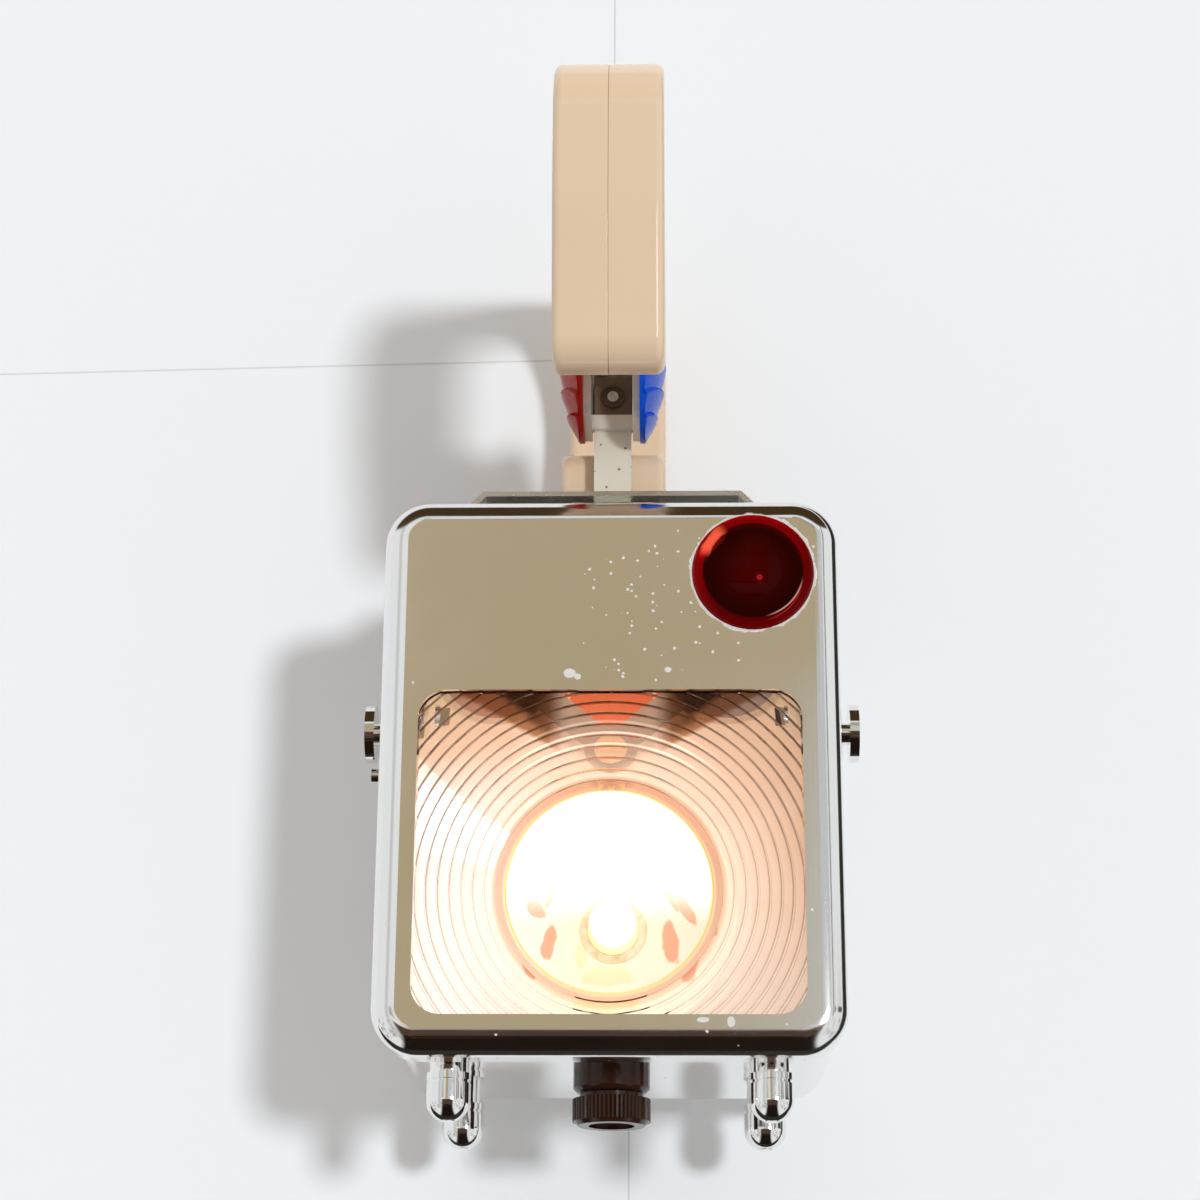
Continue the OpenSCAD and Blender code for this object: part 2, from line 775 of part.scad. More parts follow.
module red_lamp_holder() {
    color("goldenrod") turned(red_x, red_z) polygon([
        [bulb_base_r + run_gap, red_bulb_seat + 1], [6.5, red_bulb_seat + 1],
        [6.5, chassis_front - 1.2], [8.5, chassis_front - 1.2], [8.5, chassis_front],
        [0, chassis_front], [0, chassis_front - 0.8], [bulb_base_r + run_gap, chassis_front - 0.8],
    ]);
}

module red_bulb_glass() {
    bulb_glass(red_x, red_z, 4.2, red_bulb_seat - 4.2, red_bulb_seat);
}

module red_bulb_base() {
    color("gold") turned(red_x, red_z) {
        translate([0, red_bulb_seat]) square([bulb_base_r, 8.8]);
        translate([0, red_bulb_seat]) square([bulb_base_r + 1.2, 0.8]);
    }
}

module battery_tray() {
    height = tray_z1 - tray_z0;
    color("lightslategray") difference() {
        translate([-tray_half, face_y + tray_front, tray_z0])
            cube([2 * tray_half, tray_rear - tray_front, height]);
        translate([tray_wall - tray_half, face_y + tray_front - 1, tray_z0 + tray_wall]) cube([
            2 * (tray_half - tray_wall), tray_rear - tray_front + 1 - tray_wall, height - 2 * tray_wall
        ]);
        for (sx = [-1, 1]) translate([sx * tray_half, face_y + tray_front, (tray_z0 + tray_z1) / 2])
            cube([4 * tray_wall, 24, height - 40], center = true);
    }
}

module battery_cells() {
    nub = 1.5;
    for (sx = [-1, 1], level = [0, 1])
        translate([sx * cell_x, face_y + cell_depth, tray_z0 + tray_wall + 2 + level * (cell_l + pass_gap)]) {
            color("firebrick") cylinder(d = cell_d, h = cell_l - nub);
            color("silver") cylinder(r = 4.75, h = cell_l);
        }
}

module contact_strips() {
    bottom = tray_z0 + tray_wall;
    top = tray_z1 - tray_wall;
    cells_top = bottom + 2 + 2 * cell_l + pass_gap;
    color("goldenrod") {
        translate([-cell_x - 6, face_y + cell_depth - 5, bottom]) cube([2 * cell_x + 12, 10, strip_t]);
        for (sx = [-1, 1]) {
            translate([sx * cell_x, face_y + cell_depth, bottom]) cylinder(r = 4, h = 2 - 0.2);
            translate([sx * cell_x - 6, face_y + cell_depth - 5, top - strip_t]) cube([12, 10, strip_t]);
            translate([sx * cell_x, face_y + cell_depth, cells_top + 0.2])
                cylinder(r = 4, h = top - cells_top - 0.2);
        }
    }
}

module switch_body() {
    color("saddlebrown") translate([0, face_y + knob_depth, 0]) difference() {
        union() {
            translate([0, 0, floor_top]) cylinder(r = switch_r, h = switch_h);
            translate([0, 0, body_z - 2.6]) cylinder(r = switch_neck_r, h = 4);
        }
        translate([0, 0, body_z - 5])
            cylinder(d = knob_shaft_d + 2 * run_gap, h = knob_shaft_top + 0.5 - body_z + 5);
    }
}

module switch_collar() {
    color([0.15, 0.08, 0.05]) translate([0, face_y + knob_depth, 0]) rotate_extrude() polygon([
        [knob_shaft_d / 2 + run_gap, collar_bottom], [knob_d / 2 - 1.4, collar_bottom],
        [knob_d / 2 - 0.2, collar_bottom + 1.2], [knob_d / 2 - 0.2, body_z],
        [switch_neck_r + screw_gap, body_z], [switch_neck_r + screw_gap, body_z - 2.7],
        [knob_shaft_d / 2 + run_gap, body_z - 2.7],
    ]);
}

module switch_knob() {
    rib = 0.45;
    r = knob_d / 2;
    step = 360 / knob_ribs;
    bottom = knob_cap_top - knob_cap_h;
    color([0.15, 0.08, 0.05]) translate([0, face_y + knob_depth, 0]) difference() {
        union() {
            translate([0, 0, bottom + 1]) linear_extrude(knob_cap_h - 1) polygon([
                for (k = [0:knob_ribs - 1]) each [
                    (r - rib) * [cos(k * step), sin(k * step)],
                    r * [cos((k + 0.3) * step), sin((k + 0.3) * step)],
                    r * [cos((k + 0.7) * step), sin((k + 0.7) * step)],
                ]
            ]);
            translate([0, 0, bottom]) cylinder(r1 = r - 1.5, r2 = r - rib - 0.1, h = 1);
            translate([0, 0, knob_cap_top])
                cylinder(r = r - 1.9, h = collar_bottom - pass_gap - knob_cap_top);
            cylinder(d = knob_shaft_d, h = knob_shaft_top);
        }
        translate([0, 0, -1]) cylinder(r = 6, h = bottom + 2);
    }
}

module lever_pivot_pin() {
    color("silver") turned(0, lever_z) {
        translate([0, stem_depth - 1.8]) square([lever_pin_r, chassis_front - stem_depth + 1.8]);
        translate([0, stem_depth - 1.8]) square([lever_pin_r + 1.5, 1.5]);
        translate([0, stem_depth + stem_t + pass_gap])
            square([lever_pin_r + 1.5, chassis_front - stem_depth - stem_t - pass_gap]);
    }
}

// Half thickness of a tooth on its pitch circle, its height above the circle and its depth below it
tooth_half = tooth_module * 3.14159 / 4 - 0.16;
tooth_add = 0.8 * tooth_module;
tooth_ded = 1.15 * tooth_module;

// Points of one tooth on a pitch circle of radius r, turned by a degrees from +Y.
function tooth_points(r, flank, a) = let (
    tip = tooth_half - tooth_add * tan(flank),
    foot = tooth_half + tooth_ded * tan(14)
) [for (p = [
    [foot, r - tooth_ded], [tooth_half, r], [tip, r + tooth_add],
    [-tip, r + tooth_add], [-tooth_half, r], [-foot, r - tooth_ded],
]) [p.x * cos(a) - p.y * sin(a), p.x * sin(a) + p.y * cos(a)]];

module lever_stem() {
    root = sector_r - tooth_ded;
    pitch = 360 / sector_teeth;
    spread = pitch * (sector_tips + 0.55);
    color([0.84, 0.8, 0.7]) difference() {
        union() {
            slab(stem_depth, stem_depth + stem_t) {
                translate([-stem_w / 2, lever_z]) square([stem_w, stem_top - lever_z]);
                translate([0, lever_z]) circle(8);
            }
            slab(stem_mid - sector_t / 2, stem_mid + sector_t / 2) translate([0, lever_z]) polygon(concat(
                [[7, 0], [-7, 0], [-sector_neck, -root * 0.5], root * [-sin(spread), -cos(spread)]],
                [for (k = [sector_tips:-1:-sector_tips]) each tooth_points(sector_r, 22, 180 - k * pitch)],
                [root * [sin(spread), -cos(spread)], [sector_neck, -root * 0.5]]
            ));
        }
        bar(0, lever_z, lever_pin_r + run_gap, stem_depth - 1, stem_depth + stem_t + 1);
        bar(0, stem_rivet_z, 1.9, stem_depth - 1, stem_depth + stem_t + 1);
        slab(stem_depth - 1, stem_depth + stem_t + 1) translate([0, lever_z - sector_r * 0.55])
            circle(sector_hole_r);
    }
}

module finger_bracket() {
    rear = stem_depth + stem_t + bracket_web;
    height = bracket_z1 - bracket_z0;
    color("silver") difference() {
        union() {
            for (sx = [-1, 1]) translate([sx * (bracket_in + bracket_t / 2) - bracket_t / 2, face_y, 0])
                rotate([90, 0, 90]) linear_extrude(bracket_t)
                    translate([(bracket_front + rear) / 2, (bracket_z0 + bracket_z1) / 2])
                        rounded_rect(rear - bracket_front, height, 4);
            slab(rear - bracket_web, rear)
                translate([-bracket_in, bracket_z0 + 4]) square([2 * bracket_in, height - 8]);
            slab(stem_depth - 2, stem_depth - 0.2)
                translate([-bracket_in, bracket_z0 + 2]) square([2 * bracket_in, 4]);
        }
        bar(0, stem_rivet_z, 1.9, rear - 3, rear + 1);
        crossbar(pad_depth, pad_z, pad_pin_r + run_gap, -20, 20);
    }
}

module bracket_rivet() {
    rear = stem_depth + stem_t + bracket_web;
    color("silver") turned(0, stem_rivet_z) {
        translate([0, stem_depth - 0.9]) square([3.3, 0.9]);
        translate([0, stem_depth]) square([1.85, rear - stem_depth]);
        translate([0, rear]) square([3, 0.7]);
    }
}

// A domed finger pad with raised ribs, its flat back at x = 0 and its crown towards +X.
module pad() {
    rim = 2;
    rib = 0.7;
    rise = pad_t - rim - rib;
    r = pad_d / 2;
    ball = (r * r + rise * rise) / (2 * rise);
    difference() {
        union() {
            cylinder(r = r, h = rim);
            intersection() {
                translate([0, 0, rim + rise - ball]) sphere(ball, $fn = 96);
                cylinder(r = r, h = pad_t);
            }
            intersection() {
                translate([0, 0, rim + rise - ball]) sphere(ball + rib, $fn = 96);
                cylinder(r = r - 0.6, h = pad_t);
                for (k = [0:pad_ribs - 1]) rotate(360 * k / pad_ribs)
                    translate([r * 0.35, -0.8, 0]) cube([r, 1.6, pad_t]);
            }
        }
        translate([0, 0, -1]) cylinder(r = pad_pin_r + run_gap, h = 1 + 3.6);
    }
}

module red_pad() {
    color("firebrick") translate([-bracket_out, face_y + pad_depth, pad_z]) rotate([0, -90, 0]) pad();
}

module blue_pad() {
    color("royalblue") translate([bracket_out, face_y + pad_depth, pad_z]) rotate([0, 90, 0]) pad();
}

module pad_pin() {
    color("silver") crossbar(pad_depth, pad_z, pad_pin_r, -bracket_out - 3.4, bracket_out + 3.4);
}

module carrier_pin() {
    head_t = 0.7;
    head_front = carrier_front - pass_gap - head_t;
    shoulder = stem_mid + pinion_t / 2 + pass_gap;
    color("silver") turned(0, carrier_z) {
        translate([0, head_front]) square([carrier_pin_r, chassis_front - head_front]);
        translate([0, head_front]) square([carrier_pin_r + 2, head_t]);
        translate([0, shoulder]) square([carrier_pin_r + 1.5, chassis_front - shoulder]);
    }
}

// Runs its children once for each filter, with the filter's place straight below the carrier's pin.
module at_filter(side) {
    translate([0, 0, carrier_z]) rotate([0, side * filter_park, 0]) translate([0, 0, -carrier_z]) children();
}

module filter_carrier() {
    r = filter_ring_d / 2;
    rear = carrier_front + carrier_t;
    color("dimgray") difference() {
        union() {
            bar(0, carrier_z, carrier_hub_r, carrier_front, rear);
            bar(0, carrier_z, carrier_neck_r, carrier_front, stem_mid - pinion_t / 2);
            for (side = [-1, 1]) at_filter(side) {
                slab(rear - 2, rear) translate([-3.5, lens_z + r - 1]) square([7, filter_reach - r + 1]);
                bar(0, lens_z, r, carrier_front, rear);
            }
        }
        for (side = [-1, 1]) at_filter(side) {
            bar(0, lens_z, r - filter_ring_w, carrier_front - 1, rear + 1);
            bar(0, lens_z, r - filter_ring_w + 0.9, carrier_front - 1, carrier_front + filter_t + 0.2);
        }
        bar(0, carrier_z, carrier_pin_r + run_gap, carrier_front - 1, rear + 10);
    }
}

module filter_pinion() {
    step = 360 / pinion_teeth;
    color("goldenrod") slab(stem_mid - pinion_t / 2, stem_mid + pinion_t / 2)
        translate([0, carrier_z]) difference() {
            polygon([for (k = [0:pinion_teeth - 1]) each tooth_points(pinion_r, 30, (k + 0.5) * step)]);
            circle(carrier_pin_r + run_gap);
        }
}

module filter_glass(side) {
    front = carrier_front + 0.2;
    at_filter(side) bar(0, lens_z, filter_ring_d / 2 - filter_ring_w + 0.8, front, front + filter_t);
}

module red_filter() {
    color([0.7, 0.05, 0.05, 0.6]) filter_glass(1);
}

module blue_filter() {
    color([0.05, 0.25, 0.7, 0.6]) filter_glass(-1);
}

// The right side button; the left one is its mirror image.
module catch_button() {
    head = button_x - button_head_t;
    dish_r = 28;
    color("gainsboro") difference() {
        union() {
            crossbar(button_depth, button_z, button_stem_r, tab_out - tab_t - 2, head + 1);
            crossbar(button_depth, button_z, button_d / 2, head, button_x);
            crossbar(button_depth, button_z, button_stem_r + 2, clip_in, clip_in + button_clip_t);
        }
        translate([button_x + dish_r - 0.8, face_y + button_depth, button_z]) rotate([0, 90, 0])
            rotate_extrude() intersection() {
                circle(dish_r);
                translate([0, -dish_r]) square([button_d / 2 - 1.2, dish_r]);
            }
    }
}

module catch_button_right() {
    catch_button();
}

module catch_button_left() {
    mirror([1, 0, 0]) catch_button();
}

module catch_bushes() {
    color("silver") for (sx = [0, 1]) mirror([sx, 0, 0]) difference() {
        union() {
            crossbar(button_depth, button_z, bush_r, bush_in, bush_out);
            crossbar(button_depth, button_z, bush_r + 2.1, body_w / 2, bush_out);
        }
        crossbar(button_depth, button_z, button_stem_r + run_gap, bush_in - 1, bush_out + 1);
    }
}

// A coil along +X from x0 to x1, as one tube of six sides.
module coil(x0, x1, r, wire, turns) {
    sides = 6;
    rings = turns * 12;
    span = x1 - x0 - 2 * wire;
    spine = [for (k = [0:rings]) let (a = 360 * turns * k / rings)
        [x0 + wire + span * k / rings, r * cos(a), r * sin(a)]];
    polyhedron(
        points = [for (k = [0:rings]) each [for (s = [0:sides - 1]) let (
            a = 360 * turns * k / rings,
            b = 360 * s / sides
        ) spine[k] + wire * [sin(b), cos(b) * cos(a), cos(b) * sin(a)]]],
        faces = concat(
            [[for (s = [0:sides - 1]) s]],
            [for (k = [0:rings - 1], s = [0:sides - 1]) each let (q = (s + 1) % sides) [
                [k * sides + s, (k + 1) * sides + q, k * sides + q],
                [k * sides + s, (k + 1) * sides + s, (k + 1) * sides + q],
            ]],
            [[for (s = [0:sides - 1]) rings * sides + sides - 1 - s]]
        )
    );
}

module catch_spring() {
    color("silver") translate([0, face_y + button_depth, button_z])
        coil(tab_out + 0.1, clip_in - 0.1, spring_r, spring_wire_r, spring_turns);
}

module catch_spring_right() {
    catch_spring();
}

module catch_spring_left() {
    mirror([1, 0, 0]) catch_spring();
}

front_cover();
main_lens();
lens_gasket();
lens_retainer();
retainer_nuts();
red_lens();
red_lens_gasket();
body_shell();
top_plate();
top_plate_rivets();
side_stud();
foot(foot_points[0]);  // foot_front_left
foot(foot_points[1]);  // foot_front_right
foot(foot_points[2]);  // foot_rear_left
foot(foot_points[3]);  // foot_rear_right
foot_spacers();
foot_nuts();
handle_left();
handle_right();
handle_screws();
handle_bolts();
chassis_plate();
chassis_posts();
chassis_screws();
reflector();
main_socket();
main_bulb_glass();
main_bulb_base();
red_lamp_holder();
red_bulb_glass();
red_bulb_base();
battery_tray();
battery_cells();
contact_strips();
switch_body();
switch_collar();
switch_knob();
lever_pivot_pin();
lever_stem();
finger_bracket();
bracket_rivet();
red_pad();
blue_pad();
pad_pin();
carrier_pin();
filter_carrier();
filter_pinion();
red_filter();
blue_filter();
catch_button_left();
catch_button_right();
catch_bushes();
catch_spring_left();
catch_spring_right();
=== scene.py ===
# %% [markdown]
# # A railway signal lamp, dressed around its CAD frame
#
# The lamp is a chromed steel box with a stepped glass lens, a beige hook handle and a lever with
# two colour pads. The CAD model fixes every size and joint. This lesson adds what the eye sees:
# the camera and light of the photograph, the finishes, and finer pieces where the CAD solids are
# plain. Run the cells from the top, because later cells use what earlier ones define.

import math

import bmesh
import bpy
from mathutils import Matrix, Vector


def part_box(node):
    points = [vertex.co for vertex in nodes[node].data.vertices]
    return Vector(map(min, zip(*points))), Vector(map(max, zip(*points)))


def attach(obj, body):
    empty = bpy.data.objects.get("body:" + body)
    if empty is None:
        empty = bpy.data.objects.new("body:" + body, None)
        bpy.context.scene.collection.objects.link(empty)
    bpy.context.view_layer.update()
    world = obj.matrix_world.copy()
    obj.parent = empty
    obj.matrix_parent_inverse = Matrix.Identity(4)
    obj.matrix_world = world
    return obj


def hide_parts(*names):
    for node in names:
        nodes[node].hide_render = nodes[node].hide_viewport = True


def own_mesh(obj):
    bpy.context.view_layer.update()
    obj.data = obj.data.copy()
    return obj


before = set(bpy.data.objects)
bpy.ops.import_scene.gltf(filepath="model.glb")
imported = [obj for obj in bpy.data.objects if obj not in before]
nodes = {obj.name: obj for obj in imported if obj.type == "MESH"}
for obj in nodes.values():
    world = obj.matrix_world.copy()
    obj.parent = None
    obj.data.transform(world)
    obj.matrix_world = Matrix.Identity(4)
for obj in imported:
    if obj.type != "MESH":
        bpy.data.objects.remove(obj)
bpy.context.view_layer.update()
MM = 0.001
DEGREES = 180 / math.pi
FACE_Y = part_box("front_cover")[0].y
print(len(nodes), "CAD nodes, face at y", round(FACE_Y, 4))

# %% [markdown]
# ## The camera
#
# The lamp was photographed on its back on white paper, from a little below the middle of its face.
# Standing it up turns that into a camera which looks up at it by 19.3 degrees. The long lens comes
# from the sizes of the front and rear feet, and the small yaw shows the blue pad beside the grip.

# %% Camera
PITCH, YAW, ROLL = math.radians(19.3), math.radians(1.6), math.radians(0.35)
camera = bpy.data.objects.new("camera", bpy.data.cameras.new("camera"))
camera.data.lens = 80.4
camera.data.sensor_width = 36.0
camera.data.clip_start = 0.01
camera.rotation_euler = (
    Matrix.Rotation(YAW, 3, "Z") @ Matrix.Rotation(math.pi / 2 + PITCH, 3, "X")
    @ Matrix.Rotation(ROLL, 3, "Z")
).to_euler()
camera.location = (0.0158, -0.6912, -0.0993)
bpy.context.scene.collection.objects.link(camera)
bpy.context.scene.camera = camera
bpy.context.scene.view_settings.view_transform = "Standard"
print("camera at", tuple(round(v, 4) for v in camera.location))

# %% [markdown]
# ## Building blocks for node trees
#
# Nodes are wired by small helpers, so that each finish reads as a short recipe. They come first,
# because the world needs them too.

# %% Helpers for node trees
def wire(tree, source, target):
    tree.links.new(source, target)


def add(tree, kind, **values):
    """A node of one kind, with its inputs or its properties set by name."""
    node = tree.nodes.new("ShaderNode" + kind)
    for key, value in values.items():
        label = key.replace("_", " ")
        if label in node.inputs:
            node.inputs[label].default_value = value
        else:
            setattr(node, key, value)
    return node


def plug(tree, value, socket):
    """Wires a socket, or sets a plain value or colour."""
    if hasattr(value, "links"):
        wire(tree, value, socket)
    elif hasattr(value, "__len__") and len(socket.default_value) == 4 and len(value) == 3:
        socket.default_value = (*value, 1)
    else:
        socket.default_value = value


def calc(tree, operation, a, b=None, kind="Math"):
    """One sum: a and b are sockets or plain values."""
    node = add(tree, kind, operation=operation)
    plug(tree, a, node.inputs[0])
    if b is not None:
        plug(tree, b, node.inputs[1])
    return node.outputs[0]


def vector_calc(tree, operation, a, b):
    return calc(tree, operation, a, b, "VectorMath")


def times(tree, first, *others):
    """The product of sockets and numbers."""
    for other in others:
        first = calc(tree, "MULTIPLY", first, other)
    return first


def minus(tree, a, b):
    return calc(tree, "SUBTRACT", a, b)


def larger(tree, a, b):
    return calc(tree, "MAXIMUM", a, b)


def xyz(tree, vector):
    """The three parts of a vector."""
    node = add(tree, "SeparateXYZ")
    wire(tree, vector, node.inputs[0])
    return [node.outputs[label] for label in "XYZ"]


def ramp(tree, value, start, end, low=0.0, high=1.0, soft=False):
    """Maps a value from start..end to low..high, and stops at both ends."""
    node = add(tree, "MapRange", interpolation_type="SMOOTHSTEP" if soft else "LINEAR")
    for label, number in (("Value", value), ("From Min", start), ("From Max", end),
                          ("To Min", low), ("To Max", high)):
        plug(tree, number, node.inputs[label])
    return node.outputs["Result"]


def band(tree, value, start, end, soft):
    """1 between start and end, with soft edges."""
    return times(tree, ramp(tree, value, start - soft, start + soft, soft=True),
                 ramp(tree, value, end - soft, end + soft, 1.0, 0.0, soft=True))


def blend_colour(tree, mask, below, above, kind="MIX"):
    """A colour that goes from below to above where the mask is 1."""
    mix = tree.nodes.new("ShaderNodeMix")
    mix.data_type, mix.blend_type = "RGBA", kind
    for value, socket in ((mask, "Factor"), (below, 6), (above, 7)):
        plug(tree, value, mix.inputs[socket])
    return mix.outputs[2]


def paint(tree, colour, layers):
    """Lays colours over each other. Each layer is a mask and its colour."""
    for mask, above in layers:
        colour = blend_colour(tree, mask, colour, above)
    return colour


# %% [markdown]
# ## Light
#
# One key light comes from the right and throws soft shadows to the left on the paper, and a wide
# one comes from above. The world fills the shadows with a warm grey. Chrome shows what stands round
# it, so mirror rays don't see the two suns but a room: an olive board and a bright window in front,
# darkness above and below them, and pale walls at the sides.

# %% Lights
def sun(name, towards, strength, soft_deg, colour):
    data = bpy.data.lights.new(name, "SUN")
    data.energy, data.angle, data.color = strength, math.radians(soft_deg), colour
    light = bpy.data.objects.new(name, data)
    light.rotation_euler = Vector(towards).to_track_quat("-Z", "Y").to_euler()
    light.visible_glossy = False
    bpy.context.scene.collection.objects.link(light)


sun("key_light", (-0.44, 1.0, -0.03), strength=1.5, soft_deg=6.5, colour=(0.92, 0.97, 1.0))
sun("top_light", (0.05, 0.1, -1.0), strength=0.9, soft_deg=25, colour=(1.0, 0.98, 0.96))

# %% World
# The room is laid out in degrees: turn goes from straight in front of the lamp to the right, and
# height goes up from level. A direction's back part is 1 straight behind the lamp.
BACKDROP, PALE_WALL, FILL = (0.84, 0.86, 0.87), (0.84, 0.86, 0.88), 0.52
world = bpy.data.worlds.new("studio")
world.use_nodes = True
bpy.context.scene.world = world
sky = world.node_tree
right, back, up = xyz(sky, add(sky, "TexCoord").outputs["Generated"])
height = times(sky, calc(sky, "ARCSINE", up), DEGREES)
turn = times(sky, calc(sky, "ARCTAN2", right, times(sky, back, -1.0)), DEGREES)
ahead = ramp(sky, back, 0.1, 0.3, 1.0, 0.0)
not_behind = times(sky, ramp(sky, back, 0.74, 0.84, 1.0, 0.0),
                   ramp(sky, calc(sky, "ABSOLUTE", right), 0.38, 0.5, 1.0, 0.0))
# The board ends 3 degrees right of the middle, and reaches 17 degrees further above 18 degrees.
board_edge = calc(sky, "ADD", ramp(sky, height, 9, 17.5, 2.65, 3.3),
                  ramp(sky, height, 17.5, 18.8, 0.0, 17.0))
board = times(sky, ramp(sky, minus(sky, turn, board_edge), -0.15, 0.15, 1.0, 0.0),
              ramp(sky, turn, -9.5, -8.5))
board = larger(sky, board, ramp(sky, back, 0.62, 0.72))
streak = add(sky, "TexNoise", Scale=9.0, Detail=3.0)
streaks = times(sky, ahead, ramp(sky, streak.outputs["Fac"], 0.52, 0.7))
LOW_RAYS = (2, 9.3, 0.3)
# Each part: from, to and softness sideways, the same upwards, a further mask, and the colour.
ROOM = {
    "warm wall": ((-13, -9, 0.7), (-3, 27, 1), None, (0.78, 0.66, 0.55)),
    "grey wall": ((-48, -34, 4), None, None, (0.62, 0.62, 0.60)),
    "right wall": ((3, 40, 1), (-3, 30, 1), None, (0.57, 0.59, 0.60)),
    "board": (None, (-3, 27, 1), board, (0.46, 0.375, 0.235)),
    "board rim": (None, (27.5, 29.5, 0.5), board, (0.10, 0.085, 0.05)),
    "dark ceiling": (None, (37, 92, 1.5), ahead, (0.055, 0.032, 0.012)),
    "window": ((18, 29, 0.5), (-6, 7, 0.5), None, (12.0, 12.0, 12.0)),
    "dark post": ((54, 60, 1), LOW_RAYS, None, (0.06, 0.055, 0.05)),
    "dark corner": ((70, 96, 1), LOW_RAYS, None, (0.04, 0.035, 0.03)),
    "left panel": ((-30, -18, 4), LOW_RAYS, None, (0.40, 0.42, 0.38)),
    "right post": ((46, 51, 1), (-3, 39, 2), None, (0.20, 0.18, 0.12)),
    "black floor": (None, (-100, -4, 1), not_behind, (0.012, 0.007, 0.005)),
    "brown floor": (None, (-30, -4, 2), not_behind, (0.07, 0.045, 0.032)),
    "floor streaks": (None, (-40, -6, 3), streaks, (0.16, 0.075, 0.04)),
}
room = PALE_WALL
for sides, heights, mask, colour in ROOM.values():
    spans = ((turn, sides), (height, heights))
    factors = [band(sky, angle, *span) for angle, span in spans if span]
    if mask is not None:
        factors.append(mask)
    room = blend_colour(sky, times(sky, *factors), room, colour)
path = add(sky, "LightPath")
fill = tuple(FILL * part for part in (1.0, 0.96, 0.92))
seen = paint(sky, fill, ((path.outputs["Is Glossy Ray"], room),
                         (path.outputs["Is Camera Ray"], BACKDROP)))
wire(sky, seen, sky.nodes["Background"].inputs["Color"])
print("room:", ", ".join(ROOM))

# %% [markdown]
# ## Shared effects
#
# Most finishes need the same few effects, so each is a node group with named inputs: specks for
# corrosion and dust, clouds for smears, fine grain for brushing and moulding texture, radius and
# angle about an axis, and soft spots. A group only puts out colours, masks and values. The shader
# stays in each material.

# %% Helpers for groups and materials
def new_group(name, inputs, outputs):
    """An empty group: inputs are rows of name, socket type and default, after a Vector input."""
    tree = bpy.data.node_groups.new(name, "ShaderNodeTree")
    rows = [("INPUT", "Vector", "Vector", None)] + [("INPUT", *row) for row in inputs]
    for in_out, label, kind, default in rows + [("OUTPUT", *row, None) for row in outputs]:
        socket = tree.interface.new_socket(label, in_out=in_out, socket_type="NodeSocket" + kind)
        if default is not None:
            socket.default_value = default
    return tree, tree.nodes.new("NodeGroupInput").outputs, tree.nodes.new("NodeGroupOutput").inputs


def noise(tree, vector, scale, detail, roughness=0.5):
    node = add(tree, "TexNoise", Detail=detail, Roughness=roughness)
    plug(tree, scale, node.inputs["Scale"])
    wire(tree, vector, node.inputs["Vector"])
    return node.outputs["Fac"]


def here(tree):
    """The Object coordinates of a material."""
    return tree.nodes["object_coordinates"].outputs["Object"]


def place(tree, group, **values):
    """A group in a material, with its inputs set by name and Object coordinates on Vector."""
    node = tree.nodes.new("ShaderNodeGroup")
    node.node_tree = group
    wire(tree, here(tree), node.inputs["Vector"])
    for key, value in values.items():
        plug(tree, value, node.inputs[key])
    return node.outputs


def finish(name, colour, roughness, **plain):
    """A material with a Principled shader of plain numbers. Returns material, tree, shader."""
    made = bpy.data.materials.new(name)
    made.use_nodes = True
    tree = made.node_tree
    shader = tree.nodes["Principled BSDF"]
    tree.nodes.new("ShaderNodeTexCoord").name = "object_coordinates"
    shader.inputs["Base Color"].default_value = (*colour, 1)
    shader.inputs["Roughness"].default_value = roughness
    for key, value in plain.items():
        shader.inputs[key.replace("_", " ")].default_value = value
    made.diffuse_color = (*colour, 1)
    return made, tree, shader


def bump(tree, shader, height, strength):
    node = add(tree, "Bump", Strength=strength, Distance=0.1 * MM)
    wire(tree, height, node.inputs["Height"])
    wire(tree, node.outputs["Normal"], shader.inputs["Normal"])


def dress(names, material):
    """Puts one material on CAD nodes or new pieces."""
    for name in names:
        thing = nodes[name] if name in nodes else bpy.data.objects[name]
        thing.data.materials.clear()
        thing.data.materials.append(material)


# %% Group: specks
# Each cell of the pattern holds one speck if its random colour is below Share. Its size varies,
# and a noise six times as fine makes its edge ragged.
specks, given, result = new_group(
    "specks",
    [("Scale", "Float", 200.0), ("Share", "Float", 0.1), ("Size", "Float", 0.3)],
    [("Mask", "Float")],
)
cells = add(specks, "TexVoronoi", feature="F1")
wire(specks, given["Vector"], cells.inputs["Vector"])
wire(specks, given["Scale"], cells.inputs["Scale"])
ragged = noise(specks, given["Vector"], times(specks, given["Scale"], 6.0), 4.0, 0.7)
split = add(specks, "SeparateColor")
wire(specks, cells.outputs["Color"], split.inputs[0])
chosen = calc(specks, "LESS_THAN", split.outputs[0], given["Share"])
radius = times(specks, given["Size"], calc(specks, "ADD", split.outputs[1], 0.25))
rough_edge = times(specks, radius, times(specks, ragged, 2.0))
inside = calc(specks, "LESS_THAN", cells.outputs["Distance"], rough_edge)
wire(specks, times(specks, inside, chosen), result["Mask"])

# %% Group: clouds
# A slow noise between Low and High.
clouds, given, result = new_group(
    "clouds",
    [("Scale", "Float", 30.0), ("Low", "Float", 0.0), ("High", "Float", 1.0)],
    [("Value", "Float")],
)
haze = noise(clouds, given["Vector"], given["Scale"], 5.0, 0.6)
wire(clouds, ramp(clouds, haze, 0.3, 0.7, given["Low"], given["High"]), result["Value"])

